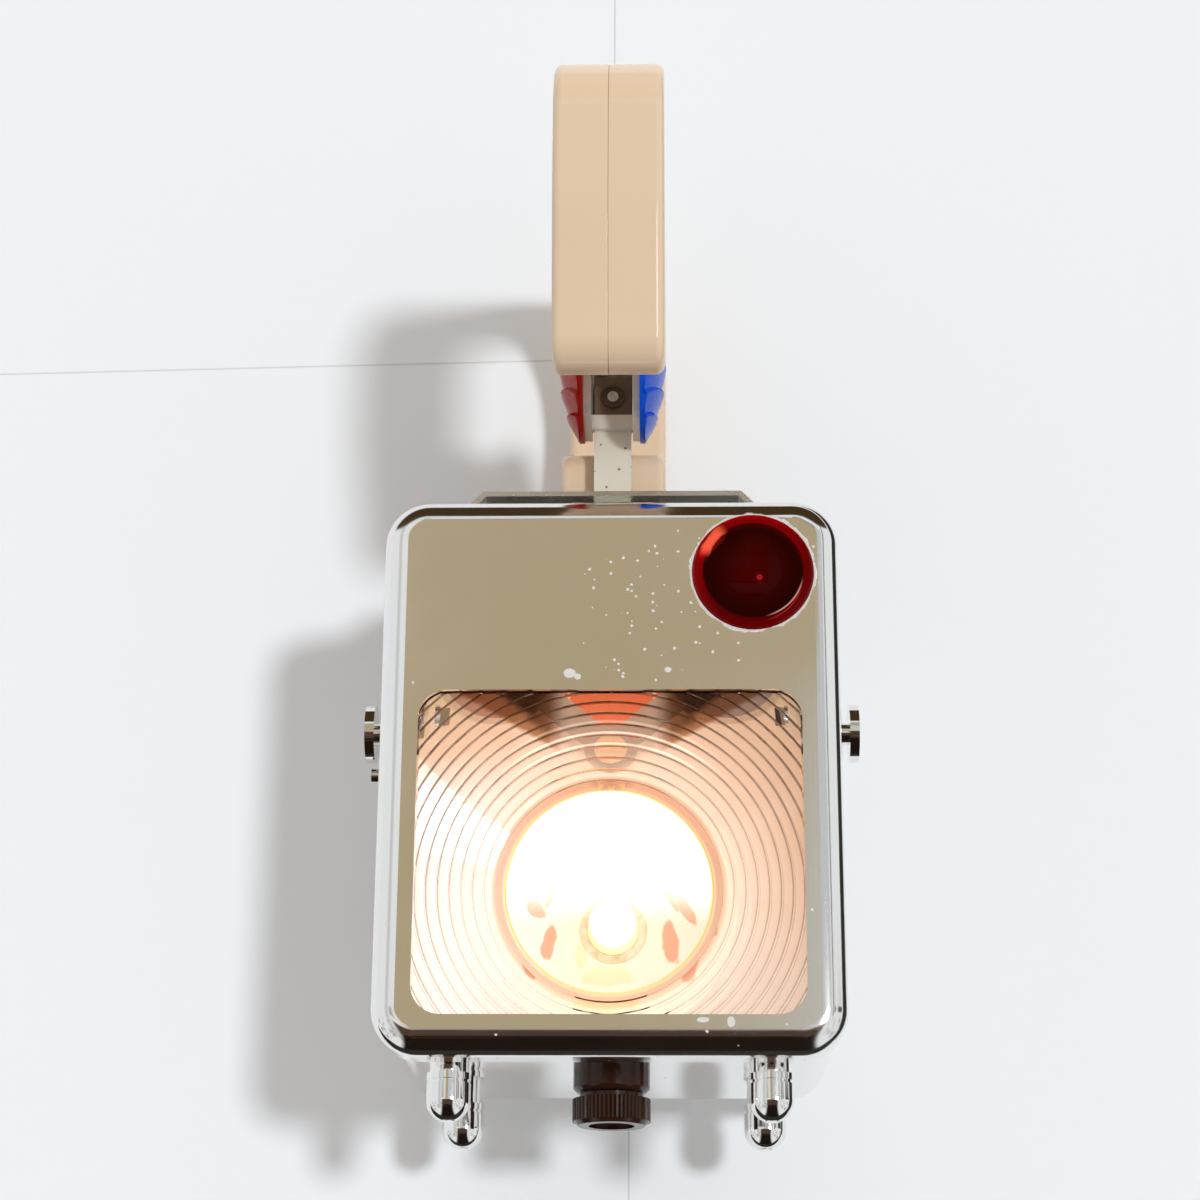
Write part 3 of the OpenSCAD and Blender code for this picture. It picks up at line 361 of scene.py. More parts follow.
# %% Group: grain
# A fine noise for bumps. A small Stretch along one axis draws it out into scratches.
grain, given, result = new_group(
    "grain",
    [("Stretch", "Vector", (1.0, 1.0, 1.0)), ("Scale", "Float", 800.0)],
    [("Height", "Float")],
)
stretched = vector_calc(grain, "MULTIPLY", given["Vector"], given["Stretch"])
wire(grain, noise(grain, stretched, given["Scale"], 3.0, 0.6), result["Height"])

# %% Group: polar
# Radius and angle about an axis that runs back through the centre, with 0 degrees straight up and
# 90 degrees at the viewer's right. The noise makes a ring's edge ragged.
polar, given, result = new_group(
    "polar",
    [("Centre", "Vector", (0.0, 0.0, 0.0)), ("Ragged", "Float", 0.0)],
    [("Radius", "Float"), ("Angle", "Float")],
)
across, _, upward = xyz(polar, vector_calc(polar, "SUBTRACT", given["Vector"], given["Centre"]))
squares = calc(polar, "ADD", times(polar, across, across), times(polar, upward, upward))
shake = minus(polar, noise(polar, given["Vector"], 260.0, 3.0), 0.5)
shift = times(polar, shake, given["Ragged"])
wire(polar, calc(polar, "ADD", calc(polar, "SQRT", squares), shift), result["Radius"])
wire(polar, times(polar, calc(polar, "ARCTAN2", across, upward), DEGREES), result["Angle"])

# %% Group: patch
# A soft spot of a given place and half size, with a ragged edge.
patch, given, result = new_group(
    "patch",
    [("Centre", "Vector", (0.0, 0.0, 0.0)), ("Size", "Vector", (1.0, 1.0, 1.0)),
     ("Ragged", "Float", 0.4)],
    [("Mask", "Float")],
)
offset = vector_calc(patch, "SUBTRACT", given["Vector"], given["Centre"])
reach = add(patch, "VectorMath", operation="LENGTH")
wire(patch, vector_calc(patch, "DIVIDE", offset, given["Size"]), reach.inputs[0])
shake = minus(patch, noise(patch, given["Vector"], 220.0, 3.0), 0.5)
edge = calc(patch, "ADD", reach.outputs["Value"], times(patch, shake, given["Ragged"]))
wire(patch, ramp(patch, edge, 0.75, 1.0, 1.0, 0.0, soft=True), result["Mask"])
print("groups:", [g.name for g in bpy.data.node_groups])


# %% Spot and cloud in a material
def blot(tree, centre, wide, tall, ragged):
    """The mask of a soft spot, by its half width and half height in millimetres."""
    size = (wide * MM, 1.0, tall * MM)
    return place(tree, patch, Centre=centre, Size=size, Ragged=ragged)["Mask"]


def cloudy(tree, scale, low, high):
    return place(tree, clouds, Scale=scale, Low=low, High=high)["Value"]


# %% [markdown]
# ## Chrome
#
# Chrome is a mirror, so its look is the room's. On this old lamp the plating carries white specks
# of corrosion, most of them left of the red lens, a broken ring of it round that lens, a few larger
# chips, fine scratches and smears.

# %% Chrome finishes
CHROME = (0.86, 0.85, 0.83)
CORROSION = (0.82, 0.80, 0.75)
red_low, red_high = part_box("red_lens")
RED_AXIS = (red_low + red_high) / 2
# The larger chips: x, z, half width and half height of each in millimetres.
CHIPS = ((-10.4, 112.6, 2.4, 1.6), (-8.4, 111.8, 1.2, 1.0), (23.5, 22.2, 1.8, 0.8),
         (30.5, 21.8, 1.0, 1.3), (15.0, 113.5, 0.9, 0.7))


def corroded(tree, marks, near):
    """Adds small chips near the red lens, a broken ring round it and the larger chips."""
    share = ramp(tree, near, 0.0, 1.0, 0.004, 0.10)
    small = place(tree, specks, Scale=900.0, Share=share, Size=0.3)["Mask"]
    radius = place(tree, polar, Centre=RED_AXIS, Ragged=2.4 * MM)["Radius"]
    ring = band(tree, radius, 15.6 * MM, 16.5 * MM, 0.3 * MM)
    marks = larger(tree, larger(tree, marks, small), times(tree, ring, 0.75))
    for x, z, wide, tall in CHIPS:
        chip = blot(tree, Vector((x * MM, FACE_Y, z * MM)), wide, tall, ragged=1.6)
        marks = larger(tree, marks, times(tree, chip, 0.8))
    return marks


def chrome_finish(name, roughness, speck_share, halo=False):
    made, tree, shader = finish(name, CHROME, roughness, Metallic=1.0)
    share = speck_share
    if halo:
        near = blot(tree, RED_AXIS + Vector((-24, 0, -10)) * MM, 26, 24, ragged=0.2)
        share = ramp(tree, near, 0.0, 1.0, speck_share, speck_share + 0.22)
    marks = place(tree, specks, Scale=430.0, Share=share, Size=0.19)["Mask"]
    if halo:
        marks = corroded(tree, marks, near)
    smear = cloudy(tree, 24.0, roughness * 0.7, roughness * 1.6)
    wire(tree, blend_colour(tree, marks, CHROME, CORROSION), shader.inputs["Base Color"])
    wire(tree, larger(tree, smear, times(tree, marks, 0.8)), shader.inputs["Roughness"])
    wire(tree, minus(tree, 1.0, marks), shader.inputs["Metallic"])
    scratch = place(tree, grain, Stretch=(1.0, 1.0, 0.05), Scale=900.0)["Height"]
    bump(tree, shader, scratch, 0.02)
    return made


dress(["front_cover"], chrome_finish("cover_chrome", 0.10, 0.02, halo=True))
dress(["body_shell", "foot_front_left", "foot_front_right", "foot_rear_left", "foot_rear_right",
       "catch_button_left", "catch_button_right", "side_stud", "foot_spacers"],
      chrome_finish("body_chrome", 0.06, 0.008))

# %% [markdown]
# ## Plated steel, nickel and brass
#
# The lever's parts are plated and handled for years, so the plating is duller, with brown specks
# on the stem. The inside of the finger bracket is painted darker as shade. The inner pieces show
# only through the lens or when the cover comes off.

# %% Steel, nickel and brass finishes
def metal_finish(name, colour, roughness, dirt, dirt_share=0.06, scale=420.0, metallic=1.0):
    made, tree, shader = finish(name, colour, roughness, Metallic=metallic)
    marks = place(tree, specks, Scale=scale, Share=dirt_share, Size=0.3)["Mask"]
    wire(tree, blend_colour(tree, marks, colour, dirt), shader.inputs["Base Color"])
    wire(tree, cloudy(tree, 60.0, roughness * 0.75, roughness * 1.35), shader.inputs["Roughness"])
    brush = place(tree, grain, Stretch=(1.0, 0.1, 1.0), Scale=700.0)["Height"]
    bump(tree, shader, brush, 0.05)
    return made


dress(["top_plate", "top_plate_rivets", "foot_nuts", "handle_screws", "handle_bolts",
       "lens_retainer", "retainer_nuts", "lever_pivot_pin", "pad_pin", "catch_bushes",
       "catch_spring_left", "catch_spring_right", "battery_tray"],
      metal_finish("plated_steel", (0.62, 0.60, 0.56), 0.28, (0.25, 0.2, 0.15)))
dress(["main_bulb_base", "red_lamp_holder", "red_bulb_base", "contact_strips"],
      metal_finish("brass", (0.78, 0.58, 0.28), 0.3, (0.3, 0.2, 0.1)))
nickel = metal_finish("aged_nickel", (0.88, 0.83, 0.70), 0.42, (0.22, 0.16, 0.10),
                      dirt_share=0.12, scale=600.0, metallic=0.25)
dress(["lever_stem"], nickel)

# %% Bracket with painted shade
BRACKET = (0.84, 0.79, 0.72)
low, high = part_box("finger_bracket")
made, tree, shader = finish("bracket_painted_shade", BRACKET, 0.32, Metallic=0.25)
x, y, _ = xyz(tree, here(tree))
# The recess between the side plates, deep behind the front, is painted dark brown as shade.
between_sides = band(tree, x, low.x + 2.2 * MM, high.x - 2.2 * MM, 0.1 * MM)
deep = ramp(tree, y, low.y + 18 * MM, low.y + 21 * MM)
painted_recess_shade = times(tree, between_sides, deep, cloudy(tree, 300.0, 0.75, 1.0))
wire(tree, blend_colour(tree, painted_recess_shade, BRACKET, (0.10, 0.060, 0.032)), shader.inputs["Base Color"])
wire(tree, ramp(tree, painted_recess_shade, 0.0, 1.0, 0.25, 0.1), shader.inputs["Metallic"])
wire(tree, ramp(tree, painted_recess_shade, 0.0, 1.0, 0.3, 0.55), shader.inputs["Roughness"])
dress(["finger_bracket"], made)

# %% [markdown]
# ## Plastic, rubber and paint
#
# Mouldings have the same faint smears, flecks and grain, and differ in colour and gloss.

# %% Moulded finishes
def moulded(name, colour, roughness, fleck, **plain):
    made, tree, shader = finish(name, colour, roughness, **plain)
    marks = place(tree, specks, Scale=260.0, Share=0.015, Size=0.16)["Mask"]
    darker = tuple(0.8 * part for part in colour)
    base = paint(tree, colour, ((cloudy(tree, 14.0, 0.0, 0.16), darker), (marks, fleck)))
    wire(tree, base, shader.inputs["Base Color"])
    wire(tree, cloudy(tree, 35.0, roughness * 0.8, roughness * 1.3), shader.inputs["Roughness"])
    bump(tree, shader, place(tree, grain, Scale=500.0)["Height"], 0.03)
    return made


beige = moulded("handle_plastic", (0.835, 0.63, 0.44), 0.22, (0.52, 0.36, 0.22), Coat_Weight=0.25)
red_pad = moulded("red_pad_plastic", (0.42, 0.012, 0.008), 0.24, (0.25, 0.01, 0.01),
                  Specular_IOR_Level=0.1)
blue_pad = moulded("blue_pad_plastic", (0.004, 0.085, 0.66), 0.24, (0.01, 0.04, 0.3),
                   Specular_IOR_Level=0.12)
bakelite = moulded("bakelite", (0.034, 0.012, 0.006), 0.16, (0.06, 0.03, 0.02),
                   Specular_IOR_Level=0.32)
rubber = moulded("rubber", (0.03, 0.03, 0.03), 0.6, (0.06, 0.06, 0.06))
jacket = moulded("cell_jacket", (0.33, 0.05, 0.04), 0.35, (0.2, 0.15, 0.1))
for names, material in ((["handle_left", "handle_right"], beige), (["red_pad"], red_pad),
                        (["blue_pad"], blue_pad), (["battery_cells"], jacket),
                        (["switch_body", "switch_collar", "switch_knob"], bakelite),
                        (["lens_gasket", "red_lens_gasket"], rubber)):
    dress(names, material)

# %% [markdown]
# ## The handle
#
# The handle is two glossy mouldings that meet on a seam. Each half is a flat hook with rounded
# edges, so it starts as a circle of vertices that is laid along the hook's outline, is extruded to
# the half's width and then bevelled: wide on the outside, very narrow along the seam, which gives
# the fine groove that catches the light.

# %% Handle outline
hook_low, hook_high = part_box("handle_right")
FRONT, REAR, BASE, TOP = hook_low.y, hook_high.y, hook_low.z, hook_high.z
UNDER_GRIP = TOP - 13 * MM


def behind(depth):
    """The Y of a depth behind the lamp's face, in millimetres."""
    return FACE_Y + depth * MM


# The corners in order round the hook: Y and Z in metres, and the radius in millimetres.
hook_corners = (
    (FRONT, TOP, 20), (REAR, TOP, 50), (REAR, 203 * MM, 16), (behind(88.5), 186 * MM, 10),
    (behind(86), BASE, 5.2), (behind(26), BASE, 5.2), (behind(26), 186 * MM, 5.2),
    (behind(68), 186 * MM, 9), (behind(87), 205 * MM, 14), (behind(87), UNDER_GRIP, 36),
    (FRONT + 13.5 * MM, UNDER_GRIP, 12), (FRONT + 16 * MM, 222 * MM, 40),
    (behind(-23), 184.3 * MM, 5), (behind(-38), 184.3 * MM, 8), (FRONT + 2 * MM, 225 * MM, 60),
)


def rounded_loop(corners, step=math.radians(5)):
    """The closed outline with an arc at each corner."""
    places = [Vector((y, z)) for y, z, _ in corners]
    points = []
    for k, (corner, (_, _, r)) in enumerate(zip(places, corners)):
        r *= MM
        to_last = (places[k - 1] - corner).normalized()
        to_next = (places[(k + 1) % len(places)] - corner).normalized()
        half = to_last.angle(to_next) / 2
        centre = corner + (to_last + to_next).normalized() * r / math.sin(half)
        start = corner + to_last * r / math.tan(half) - centre
        end = corner + to_next * r / math.tan(half) - centre
        sweep = math.atan2(start.x * end.y - start.y * end.x, start.dot(end))
        first = math.atan2(start.y, start.x)
        steps = max(2, math.ceil(abs(sweep) / step))
        for n in range(steps + 1):
            a = first + sweep * n / steps
            points.append(centre + r * Vector((math.cos(a), math.sin(a))))
    return points


hook = rounded_loop(hook_corners)
print("outline points:", len(hook))

# %% Helpers for modelling
def primitive(operator, **values):
    """Adds one of Blender's primitives and returns it."""
    bpy.ops.object.select_all(action="DESELECT")
    operator(**values)
    return bpy.context.object


def active_only(thing):
    bpy.ops.object.select_all(action="DESELECT")
    thing.select_set(True)
    bpy.context.view_layer.objects.active = thing


def edit_select(thing, kind, wanted=lambda part: True):
    """Opens edit mode with only the wanted vertices, edges or faces selected."""
    active_only(thing)
    bpy.ops.object.mode_set(mode="EDIT")
    bpy.ops.mesh.select_mode(type=kind)
    bpy.ops.mesh.select_all(action="DESELECT")
    mesh = bmesh.from_edit_mesh(thing.data)
    for part in {"VERT": mesh.verts, "EDGE": mesh.edges, "FACE": mesh.faces}[kind]:
        if wanted(part):
            part.select_set(True)
    mesh.select_flush_mode()
    bmesh.update_edit_mesh(thing.data)


def close_edit():
    bpy.ops.object.mode_set(mode="OBJECT")


def extrude(x=0.0, y=0.0):
    """Extrudes the selected faces sideways or backwards."""
    bpy.ops.mesh.extrude_region_move(TRANSFORM_OT_translate={"value": (x, y, 0)})


def all_at_x(part, x):
    """Whether a face or an edge lies in the plane at x."""
    return all(abs(v.co.x - x) < 1e-6 for v in part.verts)


def apply_place(thing):
    active_only(thing)
    bpy.ops.object.transform_apply(location=True, rotation=True, scale=True)


def apply_modifier(thing, kind, **values):
    active_only(thing)
    modifier = thing.modifiers.new(kind.lower(), kind)
    for key, value in values.items():
        setattr(modifier, key, value)
    bpy.ops.object.modifier_apply(modifier=modifier.name)


def combine(thing, tool, operation):
    """Cuts a tool from a thing or joins it on, and deletes the tool."""
    apply_modifier(thing, "BOOLEAN", object=tool, operation=operation, solver="EXACT")
    bpy.data.objects.remove(tool)


def outward(thing):
    """Merges doubles and turns all faces outwards."""
    edit_select(thing, "VERT")
    bpy.ops.mesh.remove_doubles(threshold=1e-6)
    bpy.ops.mesh.normals_make_consistent(inside=False)
    close_edit()


def smooth(thing, degrees):
    active_only(thing)
    bpy.ops.object.shade_smooth_by_angle(angle=math.radians(degrees))


# %% Handle halves
OUTER_BEVEL, SEAM_BEVEL = (2.4 * MM, 6), (0.28 * MM, 2)
# The screw wells in the left half: depth behind the face and height, in millimetres.
WELLS = ((-39, 215), (12, TOP / MM - 6.5), (98, 224), (60, 177.5))


def handle_half(name, node, side):
    low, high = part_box(node)
    outer = side * (high.x - low.x)
    half = primitive(bpy.ops.mesh.primitive_circle_add, vertices=len(hook), radius=0.1,
                     fill_type="NGON")
    half.name = name
    for vertex, (y, z) in zip(half.data.vertices, hook):
        vertex.co = (0, y, z)
    edit_select(half, "FACE")
    extrude(x=outer)
    close_edit()
    outward(half)
    for x, (size, segments) in ((outer, OUTER_BEVEL), (0.0, SEAM_BEVEL)):
        edit_select(half, "EDGE", lambda edge: all_at_x(edge, x))
        bpy.ops.mesh.bevel(offset=size, segments=segments, profile=0.5, clamp_overlap=False)
        close_edit()
    return half


def sink_screws(half, face_x):
    """Cuts the wells of the screw heads, where the CAD screws already sit."""
    for depth, height in WELLS:
        drill = primitive(bpy.ops.mesh.primitive_cylinder_add, vertices=40, radius=3.1 * MM,
                          depth=4.4 * MM, location=(face_x, behind(depth), height * MM),
                          rotation=(0, math.pi / 2, 0))
        combine(half, drill, "DIFFERENCE")


for node, side in (("handle_left", -1), ("handle_right", 1)):
    half = handle_half(node + "_moulding", node, side)
    if node == "handle_left":
        sink_screws(half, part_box(node)[0].x)
    smooth(half, 32)
    apply_modifier(half, "WEIGHTED_NORMAL", keep_sharp=True, weight=80)
    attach(half, "lamp")
    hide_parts(node)
    dress([half.name], beige)
    print(half.name, len(half.data.polygons), "faces")

# %% [markdown]
# ## The finger pads
#
# Each pad is a domed disc with overlapping, curved steps like scales, for grip. The dome is a cap
# cut off a sphere. A voxel remesh gives it even small faces, and a Displace modifier with a
# sawtooth ring texture presses the steps into it. The texture's centre lies below the pad, so that
# the steps curve round it.

# %% Finger pads
PAD_RIM, PLAIN_EDGE, CROWN_GAP, VOXEL = 2 * MM, 1.6 * MM, 0.2 * MM, 0.42 * MM
SCALE_PITCH, SCALE_DEPTH, SCALE_CENTRE = 7 * MM, 1.1 * MM, Vector((0, 4, -34)) * MM
# The ring texture repeats every pi / 10 of its own units.
RING_PERIOD = math.pi / 10


def domed_disc(name, node, side):
    """The plain pad, and the X of its back."""
    low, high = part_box(node)
    back, crown = (high.x, low.x) if side < 0 else (low.x, high.x)
    y, z, r = (low.y + high.y) / 2, (low.z + high.z) / 2, (high.z - low.z) / 2
    rise = abs(crown - back) - PAD_RIM - CROWN_GAP
    ball = (r * r + rise * rise) / (2 * rise)
    pad = primitive(bpy.ops.mesh.primitive_uv_sphere_add, segments=96, ring_count=96, radius=ball,
                    location=(back + side * (PAD_RIM + rise - ball), y, z),
                    rotation=(0, side * math.pi / 2, 0))
    pad.name = name
    apply_place(pad)
    edit_select(pad, "VERT")
    bpy.ops.mesh.bisect(plane_co=(back + side * PAD_RIM, y, z), plane_no=(side, 0, 0),
                        use_fill=True, clear_inner=True)
    close_edit()
    edit_select(pad, "FACE", lambda face: all_at_x(face, back + side * PAD_RIM))
    extrude(x=-side * PAD_RIM)
    close_edit()
    outward(pad)
    active_only(pad)
    pad.data.remesh_voxel_size = VOXEL
    bpy.ops.object.voxel_remesh()
    return pad, Vector((back, y, z))


def press_scales(pad, back, side):
    """Presses curved steps into the dome, but not into the edge at its back."""
    edit_select(pad, "VERT", lambda v: abs(v.co.x - back.x) > PLAIN_EDGE)
    pad.vertex_groups.new(name="domed")
    bpy.ops.object.vertex_group_assign()
    close_edit()
    scales = bpy.data.textures.new(pad.name + "_scales", "WOOD")
    scales.wood_type, scales.noise_basis_2 = "RINGS", "SAW"
    centre = bpy.data.objects.new(pad.name + "_centre", None)
    centre.location = back + SCALE_CENTRE
    centre.scale = (SCALE_PITCH / RING_PERIOD,) * 3
    bpy.context.scene.collection.objects.link(centre)
    bpy.context.view_layer.update()
    apply_modifier(pad, "DISPLACE", texture=scales, texture_coords="OBJECT",
                   texture_coords_object=centre, direction="X", strength=side * SCALE_DEPTH,
                   mid_level=1.0, vertex_group="domed")
    bpy.data.objects.remove(centre)


for name, node, side, slot, material in (("red_scaled_pad", "red_pad", -1, "pad_red", red_pad),
                                         ("blue_scaled_pad", "blue_pad", 1, "pad_blue", blue_pad)):
    pad, back = domed_disc(name, node, side)
    press_scales(pad, back, side)
    smooth(pad, 40)
    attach(pad, "lever")
    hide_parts(node)
    dress([name], material)
    print(name, len(pad.data.polygons), "faces")

# %% [markdown]
# ## The bracket's rivet
#
# A hollow rivet holds the bracket on the stem. Its head is a flat disc with a turned ring, and the
# rolled end in the middle is white with a dark slot. Round it the head is painted dark brown as
# shade.

# %% Bracket rivet
HEAD_R, HEAD_T, SHANK_R = 3.3 * MM, 0.9 * MM, 1.85 * MM
FOOT_T, FOOT_WIDER, SHANK_SHORTER = 0.7 * MM, 1.6, 0.6 * MM
SLOT_TILT, SLOT_SIZE, SLOT_UP = math.radians(-28), (0.7 * MM, 1.2 * MM, 2.1 * MM), 0.1 * MM
# Insets and pushes of the head's front in millimetres, from its edge to its middle.
TURNED = ((0.35, 0.0), (0.25, 0.25), (0.9, 0.0), (0.25, -0.35))
low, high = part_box("bracket_rivet")
front, rear = low.y, high.y
centre = (low + high) / 2
head_front = Vector((centre.x, front, centre.z))


def along_y(y, **values):
    """A cylinder about the rivet's axis, with its middle at y."""
    made = primitive(bpy.ops.mesh.primitive_cylinder_add, location=(centre.x, y, centre.z),
                     rotation=(math.pi / 2, 0, 0), **values)
    apply_place(made)
    return made


rivet = along_y(front + HEAD_T / 2, vertices=64, radius=HEAD_R, depth=HEAD_T)
rivet.name = "slotted_rivet"
edit_select(rivet, "FACE", lambda face: face.normal.y < -0.9
            and (face.calc_center_median() - head_front).length < 1.0 * MM)
for inset, push in TURNED:
    bpy.ops.mesh.inset(thickness=inset * MM)
    extrude(y=push * MM)
close_edit()
outward(rivet)
slot_cutter = primitive(bpy.ops.mesh.primitive_cube_add, size=1.0, rotation=(0, SLOT_TILT, 0),
                        location=(centre.x, front - SLOT_UP, centre.z))
slot_cutter.scale = SLOT_SIZE
apply_place(slot_cutter)
combine(rivet, slot_cutter, "DIFFERENCE")
shank = along_y((front + rear + SHANK_SHORTER) / 2, vertices=48, radius=SHANK_R,
                depth=rear - front - SHANK_SHORTER)
edit_select(shank, "FACE", lambda face: face.normal.y > 0.9)
extrude(y=-FOOT_T)
bpy.ops.transform.resize(value=(FOOT_WIDER, 1.0, FOOT_WIDER),
                         center_override=(centre.x, 0, centre.z))
close_edit()
outward(shank)
combine(rivet, shank, "UNION")
smooth(rivet, 30)
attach(rivet, "lever")
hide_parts("bracket_rivet")
made, tree, shader = finish("rivet_plating", (0.8, 0.78, 0.72), 0.4, Metallic=0.3)
# The head is painted dark brown as shade outside the white rolled end.
painted_head_shade = ramp(tree, place(tree, polar, Centre=centre)["Radius"], 1.45 * MM, 1.6 * MM)
wire(tree, blend_colour(tree, painted_head_shade, (0.82, 0.80, 0.76), (0.13, 0.085, 0.05)),
     shader.inputs["Base Color"])
dress(["slotted_rivet"], made)
print("slotted_rivet", len(rivet.data.polygons), "faces")

# %% [markdown]
# ## Glass
#
# The red lens is thick pressed glass, almost black in its dished middle and redder in the ring
# round it, where the light gets in from the side. Its own painted glow stands for that light, and a
# streak, a thin crescent and a dot of painted highlight stand for its reflections.

# %% Glass finishes
CLEAR = (1.0, 0.985, 0.97)
NO_LIGHT = (0.0, 0.0, 0.0)


def glass(name, colour, **plain):
    made, tree, shader = finish(name, colour, 0.0, Transmission_Weight=1.0, **plain)
    wire(tree, cloudy(tree, 40.0, 0.0, 0.03), shader.inputs["Roughness"])
    return made, tree, shader


dress(["red_bulb_glass"], glass("clear_glass", CLEAR, IOR=1.5)[0])

# %% Red lens glass
red_glass, tree, shader = glass("red_glass", (0.2, 0.004, 0.003), IOR=1.12, Emission_Strength=1.0)
ring = place(tree, polar, Centre=RED_AXIS)
ragged_radius = place(tree, polar, Centre=RED_AXIS, Ragged=1.5 * MM)["Radius"]
outer = ramp(tree, ring["Radius"], 12.8 * MM, 13.6 * MM, soft=True)
wire(tree, blend_colour(tree, outer, (0.02, 0.001, 0.0008), (0.20, 0.003, 0.003)),
     shader.inputs["Base Color"])
# Painted highlights: a streak at the upper left, a thin crescent at the lower right and a glint
# dot.
painted_streak_highlight = times(tree, band(tree, ragged_radius, 12.4 * MM, 15.0 * MM, 0.35 * MM),
                   band(tree, ring["Angle"], -68, -36, 7))
painted_crescent_highlight = times(tree, band(tree, ring["Radius"], 13.0 * MM, 13.3 * MM, 0.15 * MM),
                 band(tree, ring["Angle"], 108, 158, 10))
# The painted glow of the outer ring is stronger at the top and left.
upper_left = ramp(tree, band(tree, ring["Angle"], -110, 60, 30), 0.0, 1.0, 0.5, 1.0)
dot = blot(tree, RED_AXIS + Vector((1.7, 0, -1.8)) * MM, 0.9, 0.9, ragged=0.3)
shine = paint(tree, (0.014, 0.0, 0.0), (
    (ramp(tree, ring["Radius"], 1 * MM, 11 * MM, 0.8, 0.0), (0.055, 0.0, 0.0)),
    (times(tree, outer, upper_left), (0.12, 0.0, 0.001)),
    (times(tree, dot, 0.8), (0.42, 0.01, 0.02)),
    (painted_streak_highlight, (0.75, 0.10, 0.05)),
    (painted_crescent_highlight, (0.62, 0.33, 0.27)),
))
wire(tree, shine, shader.inputs["Emission Color"])
dress(["red_lens"], red_glass)

# %% [markdown]
# ## The lit lamp
#
# Inside the box every surface near the bulb is bright and warm, and this light is painted on. One
# group turns the distance from the bulb into a colour of light: white near it, then peach, then the
# tan of the old paint in the corners, whiter at the left and at the bottom, and dark brown painted
# shade in two wedges at the top. Each inner material tints it. The gold socket, two red-brown
# painted reflections and gold painted ones below the middle stay darker inside the white-hot bowl.

# %% Group: bulb light
reflector_low, reflector_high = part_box("reflector")
LENS_AXIS = (reflector_low + reflector_high) / 2
BULB = Vector((0.0, behind(18), LENS_AXIS.z))
bulb_light, given, result = new_group(
    "bulb_light",
    [("Tint", "Color", (1.0, 0.8, 0.6, 1.0)), ("Level", "Float", 1.0),
     ("Near", "Float", 0.03), ("Far", "Float", 0.08)],
    [("Light", "Color"), ("Nearness", "Float")],
)
from_bulb = add(bulb_light, "VectorMath", operation="DISTANCE")
wire(bulb_light, given["Vector"], from_bulb.inputs[0])
from_bulb.inputs[1].default_value = BULB
nearness = ramp(bulb_light, from_bulb.outputs["Value"], given["Near"], given["Far"], 1.0, 0.0)
warm = add(bulb_light, "ValToRGB")
warm.color_ramp.elements[0].color = (0.40, 0.30, 0.17, 1)
warm.color_ramp.elements[1].color = (1.0, 0.72, 0.56, 1)
for where, colour in ((0.18, (0.52, 0.37, 0.21)), (0.42, (0.74, 0.46, 0.30)),
                      (0.7, (0.86, 0.55, 0.38))):
    warm.color_ramp.elements.new(where).color = (*colour, 1)
wire(bulb_light, nearness, warm.inputs["Fac"])
x, _, z = xyz(bulb_light, given["Vector"])
sideways = calc(bulb_light, "ABSOLUTE", x)
slope = times(bulb_light, minus(bulb_light, sideways, 16 * MM), 0.78)
above = minus(bulb_light, minus(bulb_light, z, slope), 99 * MM)
# Painted light: whiter low down and at the lower left, with dark brown wedges of painted shade at
# the top.
glow = paint(bulb_light, warm.outputs["Color"], (
    (ramp(bulb_light, z, 68 * MM, 30 * MM, 0.0, 0.6), (0.88, 0.76, 0.68)),
    (times(bulb_light, ramp(bulb_light, above, -2 * MM, 1.5 * MM, soft=True),
           ramp(bulb_light, sideways, 10 * MM, 19 * MM, 0.35, 0.96)), (0.055, 0.018, 0.004)),
    (times(bulb_light, ramp(bulb_light, x, -10 * MM, -38 * MM, 0.0, 0.75),
           ramp(bulb_light, z, 94 * MM, 80 * MM)), (0.98, 0.94, 0.92)),
))
tinted = blend_colour(bulb_light, 1.0, glow, given["Tint"], "MULTIPLY")
to_left = ramp(bulb_light, x, -50 * MM, 50 * MM, 1.12, 0.86)
scaled = add(bulb_light, "VectorMath", operation="SCALE")
wire(bulb_light, tinted, scaled.inputs[0])
wire(bulb_light, times(bulb_light, given["Level"], to_left), scaled.inputs["Scale"])
wire(bulb_light, scaled.outputs[0], result["Light"])
wire(bulb_light, nearness, result["Nearness"])
print("bulb at", tuple(round(v, 4) for v in BULB))


# %% Lit finishes
def light_up(tree, shader, tint, level, **reach):
    """Lets a material shine with the bulb's light. Returns the group's outputs."""
    light = place(tree, bulb_light, Tint=tint, Level=level, **reach)
    shader.inputs["Emission Strength"].default_value = 1.0
    wire(tree, light["Light"], shader.inputs["Emission Color"])
    return light


def lit(name, colour, roughness, tint, level, **reach):
    made, tree, shader = finish(name, colour, roughness)
    light_up(tree, shader, tint, level, **reach)
    return made


dress(["chassis_plate", "chassis_screws", "chassis_posts"],
      lit("lit_chassis", (0.25, 0.2, 0.16), 0.5, (1.0, 0.96, 0.92), 1.0))
dress(["filter_carrier"], lit("lit_carrier", (0.018, 0.012, 0.009), 0.5, (1.0, 0.9, 0.8), 0.85))
dress(["carrier_pin", "filter_pinion"],
      lit("lit_pin", (0.5, 0.35, 0.2), 0.4, (1.0, 0.72, 0.5), 0.95, Near=0.03, Far=0.06))
dress(["main_bulb_glass"], lit("lit_bulb", (1.0, 0.9, 0.7), 0.1, (1.0, 0.98, 0.9), 4.0))
# The filters are painted with the bulb's light too.
for filter_node, colour in (("red_filter", (0.05, 0.001, 0.001)),
                            ("blue_filter", (0.001, 0.003, 0.05))):
    made, tree, shader = glass(filter_node + "_glass", colour, IOR=1.1)
    light_up(tree, shader, (1.0, 0.86, 0.72), 0.45)
    dress([filter_node], made)

# %% Lit reflector and socket
RED_BROWN, GOLD = (0.62, 0.14, 0.05), (0.80, 0.66, 0.38)
